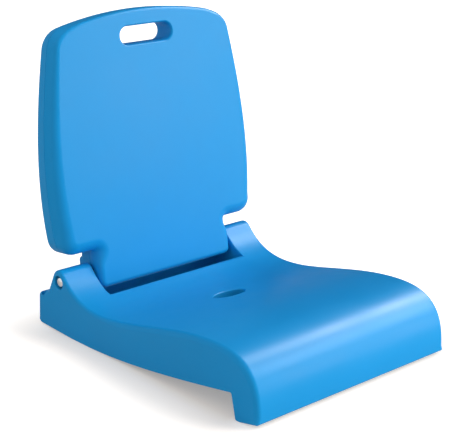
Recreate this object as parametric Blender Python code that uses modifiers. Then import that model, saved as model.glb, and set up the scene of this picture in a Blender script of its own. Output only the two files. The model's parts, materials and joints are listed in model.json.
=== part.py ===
"""Folding floor chair: a moulded seat shell, a two-shell backrest and the axle hinge that joins them.

Metres, +Z up. The chair faces -Y, +X is to the right seen from the front, and the origin is on the
floor under the middle of the chair's box. The seat is drawn from its side profile, whose Y values run
back from the heel of the front lip; the backrest is drawn in its own frame, with the hinge axis as X.
"""
import math

import bmesh
import bpy
from mathutils import Matrix, Vector

# Seat: overall sizes
SEAT_WIDTH_REAR = 0.428
SEAT_WIDTH_FRONT = 0.415
SEAT_WALL = 0.004
SEAT_EDGE_RADIUS = 0.006
RIM_EDGE_RADIUS = 0.0012

# Seat: side profile, measured back from the heel of the lip and up from the floor
LIP_REACH = 0.047
LIP_TOE_RISE = 0.007
LIP_FLAT = 0.008
LIP_LEAN = 0.009
STEP_HEIGHT = 0.041
HUMP_Y = 0.045
HUMP_HEIGHT = 0.1072
DISH_Y = 0.332
DISH_HEIGHT = 0.0645
AXIS_Y = 0.441
AXIS_HEIGHT = 0.092
KNUCKLE_SLOPE_RUN = 0.017
KNUCKLE_SLOPE_RISE = 0.008
KNUCKLE_PEAK_RUN = 0.006
KNUCKLE_PEAK_RISE = 0.0325
KNUCKLE_REAR_RUN = 0.033
KNUCKLE_CREST_RADIUS = 0.012
LUG_LENGTH = 0.030
LUG_HEIGHT = 0.070
LUG_FALL = 0.012
LUG_CORNER_RADIUS = 0.009
REAR_FOOT_RISE = 0.004
REAR_FOOT_RADIUS = 0.008
SKID_FRONT_Y = 0.372
SKID_LENGTH = 0.036
CORNER_RADIUS = 0.003

# Seat: notch, cross beam, ribs and holes
KNUCKLE_WIDTH = 0.0637
NOTCH_FRONT_GAP = 0.049
NOTCH_EDGE_RADIUS = 0.012
BEAM_FRONT_GAP = 0.0155
BEAM_DROP = 0.032
RIB_THICKNESS = 0.003
RIB_DEPTH = 0.014
RIB_SPACING = 0.052
RIB_PAIRS = 3
RIB_ROWS_BEHIND = 3
RIB_ROWS_AHEAD = 4
DRAIN_LENGTH = 0.064
DRAIN_WIDTH = 0.036
DRAIN_Y = 0.248
LUG_HOLE_DIAMETER = 0.0065
LUG_RECESS_DIAMETER = 0.013
LUG_RECESS_DEPTH = 0.008
LUG_HOLE_INSET = 0.0045
LUG_HOLE_REAR = 0.012

# Hinge hardware
AXLE_DIAMETER = 0.012
AXLE_CHAMFER = 0.001
BUSH_WALL = 0.002
BUSH_FLANGE_WALL = 0.0027
BUSH_FLANGE_THICKNESS = 0.0015
TONGUE_FLANGE_THICKNESS = 0.0018
TONGUE_BUSH_LENGTH = 0.020
WASHER_DIAMETER = 0.026
WASHER_THICKNESS = 0.0016
BARREL_WALL = 0.003
CAP_DIAMETER = 0.019
CAP_RIM = 0.0015
CAP_RECESS_DIAMETER = 0.0235
CAP_RECESS_DEPTH = 0.008
CAP_BORE_DEPTH = 0.003

# Backrest: outline in its own frame, measured from the hinge axis
RECLINE = math.radians(6.0)
BACK_THICKNESS_TOP = 0.040
BACK_THICKNESS_LOW = 0.0574
BACK_WALL = 0.003
BACK_TOP = 0.440
TOP_DRAW_IN = 0.0232
BACK_TOP_CROWN = 0.0250
BACK_TOP_CORNER_RADIUS = 0.032
SHOULDER_BOTTOM = 0.0433
SHOULDER_INSET = 0.005
SHOULDER_RADIUS = 0.030
SIDE_BULGE_LOW = 0.0188
SIDE_BULGE_HIGH = 0.0293
TONGUE_DROP = 0.0235
TONGUE_CORNER_RADIUS = 0.012
ARMPIT_RADIUS = 0.003
FRONT_RADIUS_TOP = 0.012
FRONT_RADIUS_LOW = 0.025
FRONT_RADIUS_TONGUE = 0.010
REAR_RADIUS = 0.008
REAR_RADIUS_TONGUE = 0.006

# Backrest: hand slot, heel and shell screws
SLOT_LENGTH = 0.110
SLOT_HEIGHT = 0.031
SLOT_DROP = 0.0435
SLOT_RIM_RADIUS = 0.005
HEEL_REACH = 0.005
HEEL_HEIGHT = 0.0495
HEEL_EDGE_RADIUS = 0.003
BUFFER_LENGTH = 0.050
BUFFER_WIDTH = 0.005
BUFFER_SPACING = 0.160
SADDLE_WIDTH = 0.026
# Shell screws: share of the shoulders' half width, and share of the height from the shoulders to the top
SCREW_SHARES = {"tongue": (0.37, 0.066), "shoulder": (0.855, 0.11), "side": (0.876, 0.45),
                "upper": (0.78, 0.76)}
SCREW_FROM_SLOT = 0.030
SCREW_DIAMETER = 0.004
SCREW_LENGTH = 0.022
SCREW_HEAD_DIAMETER = 0.008
SCREW_HEAD_HEIGHT = 0.0028
SCREW_SEAT = 0.015
POST_WALL = 0.0025

# Clearance left between pieces that touch or run on each other
GAP = 0.0003
# How far a cutter runs past the faces that it opens
PAST = 0.010
ARC_STEP = math.radians(18)
ROUND_STEPS = 3
TURN_STEPS = 20
SCREW_STEPS = 12

MOULDED_BLUE = (0.045, 0.30, 0.72, 1.0)


def clear_scene():
    for item in list(bpy.data.objects):
        bpy.data.objects.remove(item, do_unlink=True)


def new_collection(name):
    collection = bpy.data.collections.new(name)
    bpy.context.scene.collection.children.link(collection)
    return collection


def new_material(name, colour, roughness, metallic=0.0):
    material = bpy.data.materials.new(name)
    material.use_nodes = True
    shader = material.node_tree.nodes["Principled BSDF"]
    shader.inputs["Base Color"].default_value = colour
    shader.inputs["Roughness"].default_value = roughness
    shader.inputs["Metallic"].default_value = metallic
    return material


def new_empty(name, location, parent=None):
    empty = bpy.data.objects.new(name, None)
    parts.objects.link(empty)
    empty.location = location
    empty.parent = parent
    return empty


def add_part(name, mesh, material, parent):
    mesh.shade_smooth()
    mesh.set_sharp_from_angle(angle=math.radians(35))
    mesh.materials.append(material)
    piece = bpy.data.objects.new(name, mesh)
    parts.objects.link(piece)
    piece.parent = parent
    return piece


def add_cutter(name, mesh, parent):
    tool = bpy.data.objects.new(name, mesh)
    cutters.objects.link(tool)
    tool.parent = parent
    tool.hide_render = True
    tool.display_type = "WIRE"
    return tool


def combine(piece, tool, operation):
    modifier = piece.modifiers.new(operation.lower() + "_" + tool.name, "BOOLEAN")
    modifier.operation = operation
    modifier.solver = "EXACT"
    modifier.object = tool


def mesh_of(shape, name):
    bmesh.ops.recalc_face_normals(shape, faces=shape.faces)
    mesh = bpy.data.meshes.new(name)
    shape.to_mesh(mesh)
    shape.free()
    return mesh


def bezier(start, start_handle, end_handle, end, steps):
    """Points along a cubic curve, without its last point."""
    points = []
    for step in range(steps):
        t = step / steps
        weights = ((1 - t) ** 3, 3 * t * (1 - t) ** 2, 3 * t * t * (1 - t), t ** 3)
        anchors = (start, start_handle, end_handle, end)
        points.append(tuple(sum(w * a[axis] for w, a in zip(weights, anchors)) for axis in range(2)))
    return points


def arc(centre, radius, start, end):
    """Points on a circle from one angle to another, both ends included."""
    steps = max(1, math.ceil(abs(end - start) / ARC_STEP))
    angles = [start + (end - start) * step / steps for step in range(steps + 1)]
    return [(centre[0] + radius * math.cos(a), centre[1] + radius * math.sin(a)) for a in angles]


def fillet(corners):
    """Closed outline whose corners, given as (u, v) or (u, v, radius), are rounded."""
    outline = []
    for index, corner in enumerate(corners):
        if len(corner) == 2:
            outline.append(corner)
            continue
        here = Vector(corner[:2])
        back = (Vector(corners[index - 1][:2]) - here).normalized()
        ahead = (Vector(corners[(index + 1) % len(corners)][:2]) - here).normalized()
        half = back.angle(ahead) / 2
        centre = here + (back + ahead).normalized() * corner[2] / math.sin(half)
        first = here + back * corner[2] / math.tan(half) - centre
        turn = -first.angle_signed(here + ahead * corner[2] / math.tan(half) - centre)
        start = math.atan2(first.y, first.x)
        outline.extend(arc(centre, corner[2], start, start + turn))
    return outline


def inset(outline, distances):
    """The outline moved inwards, each point by its own distance."""
    count = len(outline)
    area = sum(outline[i - 1][0] * outline[i][1] - outline[i][0] * outline[i - 1][1] for i in range(count))
    inward = 1 if area > 0 else -1
    moved = []
    for index, point in enumerate(outline):
        here = Vector(point)
        before = (here - Vector(outline[index - 1])).normalized()
        after = (Vector(outline[(index + 1) % count]) - here).normalized()
        normal_before = Vector((-before.y, before.x)) * inward
        normal_after = Vector((-after.y, after.x)) * inward
        mitre = (normal_before + normal_after).normalized()
        moved.append(tuple(here + mitre * distances[index] / mitre.dot(normal_before)))
    return moved


def rounded_end(outline, radii, end):
    """Rings of (u, v, depth) that round an extruded outline off towards its end, a depth that goes by v."""
    rings = []
    for step in range(ROUND_STEPS + 1):
        angle = math.pi / 2 * step / ROUND_STEPS
        ring = inset(outline, [radius * (1 - math.cos(angle)) for radius in radii])
        drops = [radius * (1 - math.sin(angle)) for radius in radii]
        rings.append([(u, v, end(v) - drop) for (u, v), drop in zip(ring, drops)])
    return rings


def loft(name, rings, place, open_start=False):
    """Closed skin over rings of points, with flat end faces; the first may be left open."""
    shape = bmesh.new()
    loops = [[shape.verts.new(place(point)) for point in ring] for ring in rings]
    for low, high in zip(loops, loops[1:]):
        for index in range(len(low)):
            shape.faces.new((low[index - 1], low[index], high[index], high[index - 1]))
    shape.faces.new(loops[-1])
    if not open_start:
        shape.faces.new(loops[0])
    return mesh_of(shape, name)


def prism(name, outline, low, high, place):
    """An outline extruded between two depths."""
    rings = [[(u, v, depth) for u, v in outline] for depth in (low, high)]
    return loft(name, rings, place)


def add_box(shape, low, high):
    size = Vector(high) - Vector(low)
    middle = (Vector(high) + Vector(low)) / 2
    matrix = Matrix.Translation(middle) @ Matrix.Diagonal((*size, 1))
    bmesh.ops.create_cube(shape, size=1, matrix=matrix)


def add_rod(shape, diameter, low, high, axis, steps=TURN_STEPS):
    """A cylinder between two points that differ along one axis."""
    turn = {"X": Matrix.Rotation(math.pi / 2, 4, "Y"), "Y": Matrix.Rotation(-math.pi / 2, 4, "X"),
            "Z": Matrix.Identity(4)}[axis]
    middle = (Vector(low) + Vector(high)) / 2
    length = (Vector(high) - Vector(low)).length
    bmesh.ops.create_cone(shape, cap_ends=True, segments=steps, radius1=diameter / 2, radius2=diameter / 2,
                          depth=length, matrix=Matrix.Translation(middle) @ turn)


def turned(name, profile, material, parent, place, side):
    """A turned piece on the hinge axis: a closed profile of (radius, distance out) spun about it."""
    mesh = bpy.data.meshes.new(name)
    points = [(radius, 0, out) for radius, out in reversed(profile)]
    edges = [(index, (index + 1) % len(points)) for index in range(len(points))]
    mesh.from_pydata(points, edges, [])
    piece = bpy.data.objects.new(name, mesh)
    parts.objects.link(piece)
    mesh.materials.append(material)
    spin = piece.modifiers.new("spin", "SCREW")
    spin.steps = spin.render_steps = TURN_STEPS
    spin.use_merge_vertices = True
    spin.merge_threshold = 0.00001
    piece.parent = parent
    piece.location = place
    piece.rotation_euler = (0, side * math.pi / 2, 0)
    return piece


# Sizes worked out from the driving ones

PAN_EDGE_Y = AXIS_Y - NOTCH_FRONT_GAP
KNUCKLE_PEAK = (AXIS_Y + KNUCKLE_PEAK_RUN, AXIS_HEIGHT + KNUCKLE_PEAK_RISE)
KNUCKLE_SLOPE = (AXIS_Y - KNUCKLE_SLOPE_RUN, AXIS_HEIGHT + KNUCKLE_SLOPE_RISE)
LUG_Y = AXIS_Y + KNUCKLE_REAR_RUN
REAR_Y = LUG_Y + LUG_LENGTH
BEAM_FRONT_Y = AXIS_Y + BEAM_FRONT_GAP
BEAM_HEIGHT = AXIS_HEIGHT - BEAM_DROP

AXLE_BORE = AXLE_DIAMETER + 2 * GAP
BUSH_DIAMETER = AXLE_BORE + 2 * BUSH_WALL
BUSH_SEAT = BUSH_DIAMETER + 2 * GAP
BUSH_FLANGE_DIAMETER = BUSH_DIAMETER + 2 * BUSH_FLANGE_WALL
BARREL_DIAMETER = BUSH_SEAT + 2 * BARREL_WALL
NOTCH_SIDE = SEAT_WIDTH_REAR / 2 - KNUCKLE_WIDTH
TONGUE_SIDE = NOTCH_SIDE - TONGUE_FLANGE_THICKNESS - WASHER_THICKNESS - 3 * GAP
POST_DIAMETER = SCREW_DIAMETER + 2 * GAP + 2 * POST_WALL
WELL_DIAMETER = SCREW_HEAD_DIAMETER + 2 * GAP
SHOULDER_X = SEAT_WIDTH_REAR / 2 - SHOULDER_INSET
BACK_TOP_CORNER_X = SHOULDER_X - TOP_DRAW_IN
SLOT_CENTRE = BACK_TOP - SLOT_DROP


def half_width(y):
    """Half the seat's width at a place along its depth: the sides draw in towards the front."""
    share = (y + LIP_REACH) / (AXIS_Y + LIP_REACH)
    return (SEAT_WIDTH_FRONT + (SEAT_WIDTH_REAR - SEAT_WIDTH_FRONT) * share) / 2


def back_depth(z):
    """Half the backrest's thickness at a height over the hinge axis: it thins towards the top."""
    share = (z - SHOULDER_BOTTOM) / (BACK_TOP - SHOULDER_BOTTOM)
    return (BACK_THICKNESS_LOW + (BACK_THICKNESS_TOP - BACK_THICKNESS_LOW) * share) / 2


KNUCKLE_SIDE = half_width(AXIS_Y)
CAP_SEAT = KNUCKLE_SIDE - CAP_RECESS_DEPTH


def seat_place(point):
    """A profile point (y, z, share of the half width) in the seat's frame."""
    y, z, x = point
    return (x * half_width(y) / KNUCKLE_SIDE, y, z)


def square_place(point):
    y, z, x = point
    return (x, y, z)


def seat_top():
    """The skin seen from the side: up the lip, over the pan and the knuckle, and down the rear lug."""
    toe = (-LIP_REACH, LIP_TOE_RISE)
    hump = (HUMP_Y, HUMP_HEIGHT)
    dish = (DISH_Y, DISH_HEIGHT)
    slope = KNUCKLE_SLOPE
    lip_height = HUMP_HEIGHT - LIP_TOE_RISE
    front = bezier(toe, (toe[0] - 0.06 * LIP_REACH, toe[1] + 0.67 * lip_height),
                   (hump[0] - 0.74 * (hump[0] - toe[0]), hump[1]), hump, 9)
    pan_run = DISH_Y - HUMP_Y
    pan = bezier(hump, (hump[0] + 0.35 * pan_run, hump[1]), (dish[0] - 0.29 * pan_run, dish[1]), dish, 11)
    slope_run = slope[0] - DISH_Y
    climb = Vector(KNUCKLE_PEAK) - Vector(slope)
    rise = bezier(dish, (dish[0] + 0.43 * slope_run, dish[1]),
                  tuple(Vector(slope) - 0.9 * climb), slope, 8)
    lug = ((LUG_Y, LUG_HEIGHT, CORNER_RADIUS), (REAR_Y, LUG_HEIGHT - LUG_FALL, LUG_CORNER_RADIUS))
    return front, pan + rise + [slope, (*KNUCKLE_PEAK, KNUCKLE_CREST_RADIUS), *lug]


def seat_outline():
    """The closed side profile, with the edge radius that each of its points takes at the sides."""
    front, over = seat_top()
    toe = (*front[0], CORNER_RADIUS)
    step = (LIP_LEAN, STEP_HEIGHT)
    skid = (SKID_FRONT_Y, 0.0)
    span = SKID_FRONT_Y - LIP_LEAN
    arch = bezier(skid, (skid[0] - 0.31 * span, 0.0), (step[0] + 0.33 * span, 0.50 * STEP_HEIGHT), step, 8)
    under = [(REAR_Y, REAR_FOOT_RISE, REAR_FOOT_RADIUS), (SKID_FRONT_Y + SKID_LENGTH, 0.0), *arch,
             (*step, CORNER_RADIUS), (0.0, 0.0, CORNER_RADIUS), (-LIP_FLAT, 0.0)]
    outline = fillet([toe, *front[1:], *over, *under])
    skin_end = len(fillet([toe, *front[1:], *over, (REAR_Y, 0.0)])) - 1
    radii = []
    for index, (y, z) in enumerate(outline):
        on_skin = index < skin_end and z > LIP_TOE_RISE + 2 * CORNER_RADIUS
        radii.append(SEAT_EDGE_RADIUS if on_skin else RIM_EDGE_RADIUS)
    return outline, radii


def core_outline():
    """The hollow under the skin, open at the floor."""
    front, over = seat_top()
    skin = fillet([*front, *over, (REAR_Y, 0.0), (-LIP_REACH, 0.0)])
    inner = inset(skin, [SEAT_WALL] * len(skin))
    return [*inner[:-2], (inner[-2][0], -PAST), (inner[-1][0], -PAST)]


def below_ribs_outline():
    """The part of the hollow that lies below the ribs of the pan."""
    front, over = seat_top()
    drop = SEAT_WALL + RIB_DEPTH
    run = [(y, z - drop) for y, z, *_ in front + over if 0.0 < y < PAN_EDGE_Y]
    return [*run, (PAN_EDGE_Y, run[-1][1]), (PAN_EDGE_Y, -3 * PAST), (run[0][0], -3 * PAST)]


def skin_height(y):
    """Height of the skin over a place between the hump and the knuckle."""
    over = seat_top()[1]
    for (y0, z0), (y1, z1) in zip(over, over[1:]):
        if y0 <= y <= y1:
            return z0 + (z1 - z0) * (y - y0) / (y1 - y0)
    raise ValueError("place is off the pan")


def notch_outline():
    """Side view of the notch between the knuckles: through to the floor, with a rolled front edge."""
    radius = NOTCH_EDGE_RADIUS
    roll_y = PAN_EDGE_Y - radius
    slope = (skin_height(roll_y) - skin_height(roll_y - radius)) / radius
    tilt = math.atan(slope)
    roll_z = skin_height(roll_y) - radius / math.cos(tilt)
    roll = arc((roll_y, roll_z), radius, math.pi / 2 + tilt, 0)
    top = KNUCKLE_PEAK[1] + PAST
    rear = REAR_Y + PAST
    return [(roll[0][0], top), *roll, (PAN_EDGE_Y, -PAST), (BEAM_FRONT_Y, -PAST),
            (BEAM_FRONT_Y, BEAM_HEIGHT), (rear, BEAM_HEIGHT), (rear, top)]


def drain_outline():
    """Plan of the drain slot: two shallow arcs that meet in rounded tips."""
    half_length = DRAIN_LENGTH / 2
    half_width_of_slot = DRAIN_WIDTH / 2
    steps = 8
    front = [half_length * (2 * step / steps - 1) for step in range(steps)]
    bow = [half_width_of_slot * math.sqrt(1 - (x / half_length) ** 2) for x in front]
    low = [(x, DRAIN_Y - y) for x, y in zip(front, bow)]
    high = [(-x, DRAIN_Y + y) for x, y in zip(front, bow)]
    return low + high


def build_seat(origin):
    """Seat moulding: the outer skin less its core, whose slots leave the ribs, walls and bosses."""
    outline, radii = seat_outline()
    right = rounded_end(outline, radii, lambda z: KNUCKLE_SIDE)
    left = [[(y, z, -x) for y, z, x in ring] for ring in reversed(right)]
    seat = add_part("seat_shell", loft("seat_shell", left + right, seat_place), blue_plastic, origin)

    inside = KNUCKLE_SIDE - SEAT_WALL
    core = add_cutter("seat_core", prism("seat_core", core_outline(), -inside, inside, seat_place),
                      origin)
    clear_of_side = inside - RIB_THICKNESS
    below_ribs = prism("below_ribs", below_ribs_outline(), -clear_of_side, clear_of_side, seat_place)
    for cut in (lengthwise_ribs(origin), crosswise_ribs(origin)):
        combine(core, cut, "DIFFERENCE")
    combine(core, add_cutter("below_ribs", below_ribs, origin), "UNION")
    for keep in (notch_walls(origin), lip_wall(origin), seat_bosses(origin)):
        combine(core, keep, "DIFFERENCE")
    combine(seat, core, "DIFFERENCE")

    opening = prism("notch", notch_outline(), -NOTCH_SIDE, NOTCH_SIDE, square_place)
    notch = add_cutter("notch", opening, origin)
    combine(seat, notch, "DIFFERENCE")
    for holes in (seat_bores(origin), seat_recesses(origin), drain_slot(origin)):
        combine(seat, holes, "DIFFERENCE")


def lengthwise_ribs(origin):
    """Slots in the core for the ribs that run fore and aft, in pairs outside the drain slot."""
    shape = bmesh.new()
    for pair in range(RIB_PAIRS):
        middle = DRAIN_LENGTH / 2 + 2 * RIB_THICKNESS + pair * RIB_SPACING
        for x in (-middle, middle):
            add_box(shape, (x - RIB_THICKNESS / 2, 0.0, -2 * PAST),
                    (x + RIB_THICKNESS / 2, PAN_EDGE_Y, HUMP_HEIGHT))
    return add_cutter("lengthwise_ribs", mesh_of(shape, "lengthwise_ribs"), origin)


def crosswise_ribs(origin):
    """Slots in the core for the ribs that run across, with the drain slot between two of them."""
    shape = bmesh.new()
    for row in range(-RIB_ROWS_AHEAD, RIB_ROWS_BEHIND):
        y = DRAIN_Y + (row + 0.5) * RIB_SPACING
        add_box(shape, (-SEAT_WIDTH_REAR / 2, y - RIB_THICKNESS / 2, -2 * PAST),
                (SEAT_WIDTH_REAR / 2, y + RIB_THICKNESS / 2, HUMP_HEIGHT))
    return add_cutter("crosswise_ribs", mesh_of(shape, "crosswise_ribs"), origin)


def notch_walls(origin):
    outline = notch_outline()
    around = inset(outline, [-SEAT_WALL] * len(outline))
    side = NOTCH_SIDE + SEAT_WALL
    return add_cutter("notch_walls", prism("notch_walls", around, -side, side, square_place), origin)


def lip_wall(origin):
    """The wall that closes the back of the lip, in line with its sloping rear edge."""
    lean = LIP_LEAN / STEP_HEIGHT
    behind = SEAT_WALL + 2 * GAP
    outline = [(-SEAT_WALL + lean * z + offset, z) for z, offset in
               ((-2 * PAST, 0), (-2 * PAST, behind), (HUMP_HEIGHT, behind), (HUMP_HEIGHT, 0))]
    side = SEAT_WIDTH_REAR / 2
    return add_cutter("lip_wall", prism("lip_wall", outline, -side, side, square_place), origin)


def seat_bosses(origin):
    """Barrels for the hinge bushes and posts under the fixing holes of the lugs."""
    shape = bmesh.new()
    for side in (-1, 1):
        add_rod(shape, BARREL_DIAMETER, (side * (NOTCH_SIDE + SEAT_WALL / 2), AXIS_Y, AXIS_HEIGHT),
                (side * (KNUCKLE_SIDE + PAST), AXIS_Y, AXIS_HEIGHT), "X")
        x = side * (KNUCKLE_SIDE - LUG_HOLE_INSET)
        add_rod(shape, LUG_RECESS_DIAMETER + 2 * SEAT_WALL, (x, REAR_Y - LUG_HOLE_REAR, -2 * PAST),
                (x, REAR_Y - LUG_HOLE_REAR, LUG_HEIGHT + PAST), "Z")
    return add_cutter("seat_bosses", mesh_of(shape, "seat_bosses"), origin)


def lug_hole(side):
    """Place of a lug's fixing hole, at the floor of its recess."""
    lug_top = LUG_HEIGHT - LUG_FALL * (1 - LUG_HOLE_REAR / LUG_LENGTH)
    return side * (KNUCKLE_SIDE - LUG_HOLE_INSET), REAR_Y - LUG_HOLE_REAR, lug_top - LUG_RECESS_DEPTH


def seat_bores(origin):
    """Bush seats through the knuckles and fixing holes through the lugs."""
    shape = bmesh.new()
    axis = (AXIS_Y, AXIS_HEIGHT)
    for side in (-1, 1):
        ends = (side * (NOTCH_SIDE - PAST), *axis), (side * (KNUCKLE_SIDE - GAP), *axis)
        add_rod(shape, BUSH_SEAT, *ends, "X")
        x, y, floor = lug_hole(side)
        add_rod(shape, LUG_HOLE_DIAMETER, (x, y, -PAST), (x, y, floor + GAP), "Z")
    return add_cutter("seat_bores", mesh_of(shape, "seat_bores"), origin)


def seat_recesses(origin):
    """Cap recesses in the knuckles' sides and screw-head recesses in the lugs."""
    shape = bmesh.new()
    axis = (AXIS_Y, AXIS_HEIGHT)
    for side in (-1, 1):
        ends = (side * CAP_SEAT, *axis), (side * (KNUCKLE_SIDE + PAST), *axis)
        add_rod(shape, CAP_RECESS_DIAMETER, *ends, "X")
        x, y, floor = lug_hole(side)
        add_rod(shape, LUG_RECESS_DIAMETER, (x, y, floor), (x, y, LUG_HEIGHT + PAST), "Z")
    return add_cutter("seat_recesses", mesh_of(shape, "seat_recesses"), origin)


def drain_slot(origin):
    slot = prism("drain_slot", drain_outline(), DISH_HEIGHT - 2 * PAST, HUMP_HEIGHT, lambda point: point)
    return add_cutter("drain_slot", slot, origin)


def back_outline():
    """The backrest from the front, with the radius that its front edge takes at each point."""
    side_run = BACK_TOP - BACK_TOP_CROWN - SHOULDER_BOTTOM
    corner = (BACK_TOP_CORNER_X, BACK_TOP - BACK_TOP_CROWN)
    shoulder = (SHOULDER_X, SHOULDER_BOTTOM)
    side = bezier(shoulder, (SHOULDER_X + SIDE_BULGE_LOW, SHOULDER_BOTTOM + 0.32 * side_run),
                  (BACK_TOP_CORNER_X + SIDE_BULGE_HIGH, SHOULDER_BOTTOM + 0.62 * side_run), corner, 14)
    steps = 8
    crown = [(BACK_TOP_CORNER_X * (1 - step / steps),
              BACK_TOP - BACK_TOP_CROWN * (1 - step / steps) ** 2) for step in range(1, steps + 1)]
    flank = SHOULDER_RADIUS / math.tan(math.pi / 4)
    tip = BACK_TOP_CORNER_RADIUS
    clear_side = [p for p in side[1:] if SHOULDER_BOTTOM + flank < p[1] < corner[1] - tip]
    clear_crown = [p for p in crown if p[0] < BACK_TOP_CORNER_X - tip]
    right = [(TONGUE_SIDE, -TONGUE_DROP, TONGUE_CORNER_RADIUS),
             (TONGUE_SIDE, SHOULDER_BOTTOM, ARMPIT_RADIUS),
             (*shoulder, SHOULDER_RADIUS), *clear_side, (*corner, tip), *clear_crown]
    left = [(-p[0], *p[1:]) for p in reversed(right[:-1])]
    outline = fillet(right + left)
    radii = []
    for x, z in outline:
        if z < SHOULDER_BOTTOM + ARMPIT_RADIUS and abs(x) < TONGUE_SIDE + ARMPIT_RADIUS:
            radii.append(FRONT_RADIUS_TONGUE)
            continue
        share = (z - SHOULDER_BOTTOM) / (BACK_TOP - SHOULDER_BOTTOM)
        radii.append(FRONT_RADIUS_LOW + (FRONT_RADIUS_TOP - FRONT_RADIUS_LOW) * min(1, max(0, share)))
    return outline, radii


def front_place(point):
    x, z, depth = point
    return (x, -depth, z)


def rear_place(point):
    x, z, depth = point
    return (x, depth, z)


def back_shell(name, radii, place, pivot):
    """One half of the backrest: an open moulding from the parting plane to its face."""
    outline = back_outline()[0]
    parting = [(x, z, GAP / 2) for x, z in outline]
    rings = [parting, *rounded_end(outline, radii, back_depth)]
    shell = add_part(name, loft(name, rings, place, open_start=True), blue_plastic, pivot)
    wall = shell.modifiers.new("wall", "SOLIDIFY")
    wall.thickness = BACK_WALL
    wall.offset = -1
    wall.use_even_offset = True
    return shell


def slot_outline(grow):
    """The hand slot's outline, a straight slot with round ends, grown by a margin."""
    radius = SLOT_HEIGHT / 2 + grow
    reach = (SLOT_LENGTH - SLOT_HEIGHT) / 2
    right = arc((reach, SLOT_CENTRE), radius, -math.pi / 2, math.pi / 2)
    left = arc((-reach, SLOT_CENTRE), radius, math.pi / 2, 3 * math.pi / 2)
    return right + left


def slot_cutter(name, place, pivot):
    """The slot with its mouth flared to a rounded rim at the face."""
    rim = SLOT_RIM_RADIUS
    rings = [[(x, z, -PAST) for x, z in slot_outline(0)]]
    for step in range(ROUND_STEPS + 1):
        angle = math.pi / 2 * step / ROUND_STEPS
        drop = rim * (1 - math.sin(angle))
        rings.append([(x, z, back_depth(z) - drop) for x, z in slot_outline(rim * (1 - math.cos(angle)))])
    rings.append([(x, z, back_depth(z) + PAST) for x, z in slot_outline(rim)])
    return add_cutter(name, loft(name, rings, place), pivot)


def screw_places():
    """Each screw's name and its place across and up the backrest."""
    height = BACK_TOP - SHOULDER_BOTTOM
    right = {name: (x * SHOULDER_X, SHOULDER_BOTTOM + z * height) for name, (x, z) in SCREW_SHARES.items()}
    right["handle"] = (SLOT_LENGTH / 2 + SCREW_FROM_SLOT, SLOT_CENTRE)
    return {"screw_" + name + "_" + word: (side * x, z) for name, (x, z) in right.items()
            for side, word in ((-1, "left"), (1, "right"))}


def fit_shell(shell, facing, place, pivot):
    """Saddles, screw posts and the hand slot's sleeve inside one half of the backrest."""
    if facing > 0:
        add_heel(shell, pivot)
    shape = bmesh.new()
    for side in (-1, 1):
        depths = sorted((facing * GAP / 2, wall_middle(0) + HEEL_REACH if facing > 0 else -wall_middle(0)))
        ends = sorted((side * (TONGUE_SIDE - BACK_WALL / 2), side * (TONGUE_SIDE - TONGUE_BUSH_LENGTH)))
        add_box(shape, (ends[0], depths[0], -SADDLE_WIDTH / 2), (ends[1], depths[1], SADDLE_WIDTH / 2))
    for x, z in screw_places().values():
        ends = (x, facing * GAP / 2, z), (x, facing * wall_middle(z), z)
        add_rod(shape, post_diameter(facing), *ends, "Y", SCREW_STEPS)
    posts = add_cutter(shell.name + "_posts", mesh_of(shape, shell.name + "_posts"), pivot)
    sleeve = prism(shell.name + "_sleeve", slot_outline(BACK_WALL), GAP / 2, wall_middle(SLOT_CENTRE), place)
    combine(shell, posts, "UNION")
    combine(shell, add_cutter(shell.name + "_sleeve", sleeve, pivot), "UNION")
    combine(shell, slot_cutter(shell.name + "_slot", place, pivot), "DIFFERENCE")

    bores = bmesh.new()
    for side in (-1, 1):
        ends = (side * (TONGUE_SIDE - 2 * TONGUE_BUSH_LENGTH), 0, 0), (side * (TONGUE_SIDE + PAST), 0, 0)
        add_rod(bores, BUSH_SEAT, *ends, "X")
    for x, z in screw_places().values():
        tip = back_depth(z) + PAST if facing > 0 else SCREW_LENGTH - SCREW_SEAT + 4 * GAP
        ends = (x, -facing * PAST, z), (x, facing * tip, z)
        add_rod(bores, SCREW_DIAMETER + 2 * GAP, *ends, "Y", SCREW_STEPS)
    if facing > 0:
        wells = bmesh.new()
        for x, z in screw_places().values():
            add_rod(wells, WELL_DIAMETER, (x, SCREW_SEAT, z), (x, back_depth(z) + PAST, z), "Y", SCREW_STEPS)
        combine(shell, add_cutter("screw_wells", mesh_of(wells, "screw_wells"), pivot), "DIFFERENCE")
    name = shell.name + "_bores"
    combine(shell, add_cutter(name, mesh_of(bores, name), pivot), "DIFFERENCE")


def post_diameter(facing):
    return WELL_DIAMETER + 2 * POST_WALL if facing > 0 else POST_DIAMETER


def wall_middle(z):
    """Depth of the middle of a shell's outer wall at a height over the hinge axis."""
    return back_depth(z) - BACK_WALL / 2


def heel_outline(margin):
    """The heel from behind: as wide as the tongue, from its lower edge up past the axle."""
    side = TONGUE_SIDE - margin
    low = -TONGUE_DROP + margin
    high = -TONGUE_DROP + HEEL_HEIGHT - margin
    corner = HEEL_EDGE_RADIUS + BACK_WALL - margin
    return fillet([(side, low, corner), (side, high, corner), (-side, high, corner), (-side, low, corner)])


def add_heel(shell, pivot):
    """The deep root of the tongue, whose lower edge is the stop that lands on the seat's buffers."""
    face = back_depth(0)
    outline = heel_outline(GAP)
    root = face - REAR_RADIUS_TONGUE - BACK_WALL
    rings = [[(x, z, root) for x, z in outline],
             *rounded_end(outline, [HEEL_EDGE_RADIUS] * len(outline), lambda z: face + HEEL_REACH)]
    combine(shell, add_cutter("heel", loft("heel", rings, rear_place), pivot), "UNION")
    hollow = prism("heel_hollow", heel_outline(BACK_WALL + GAP), root - BACK_WALL,
                   face + HEEL_REACH - BACK_WALL, rear_place)
    combine(shell, add_cutter("heel_hollow", hollow, pivot), "DIFFERENCE")


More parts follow.
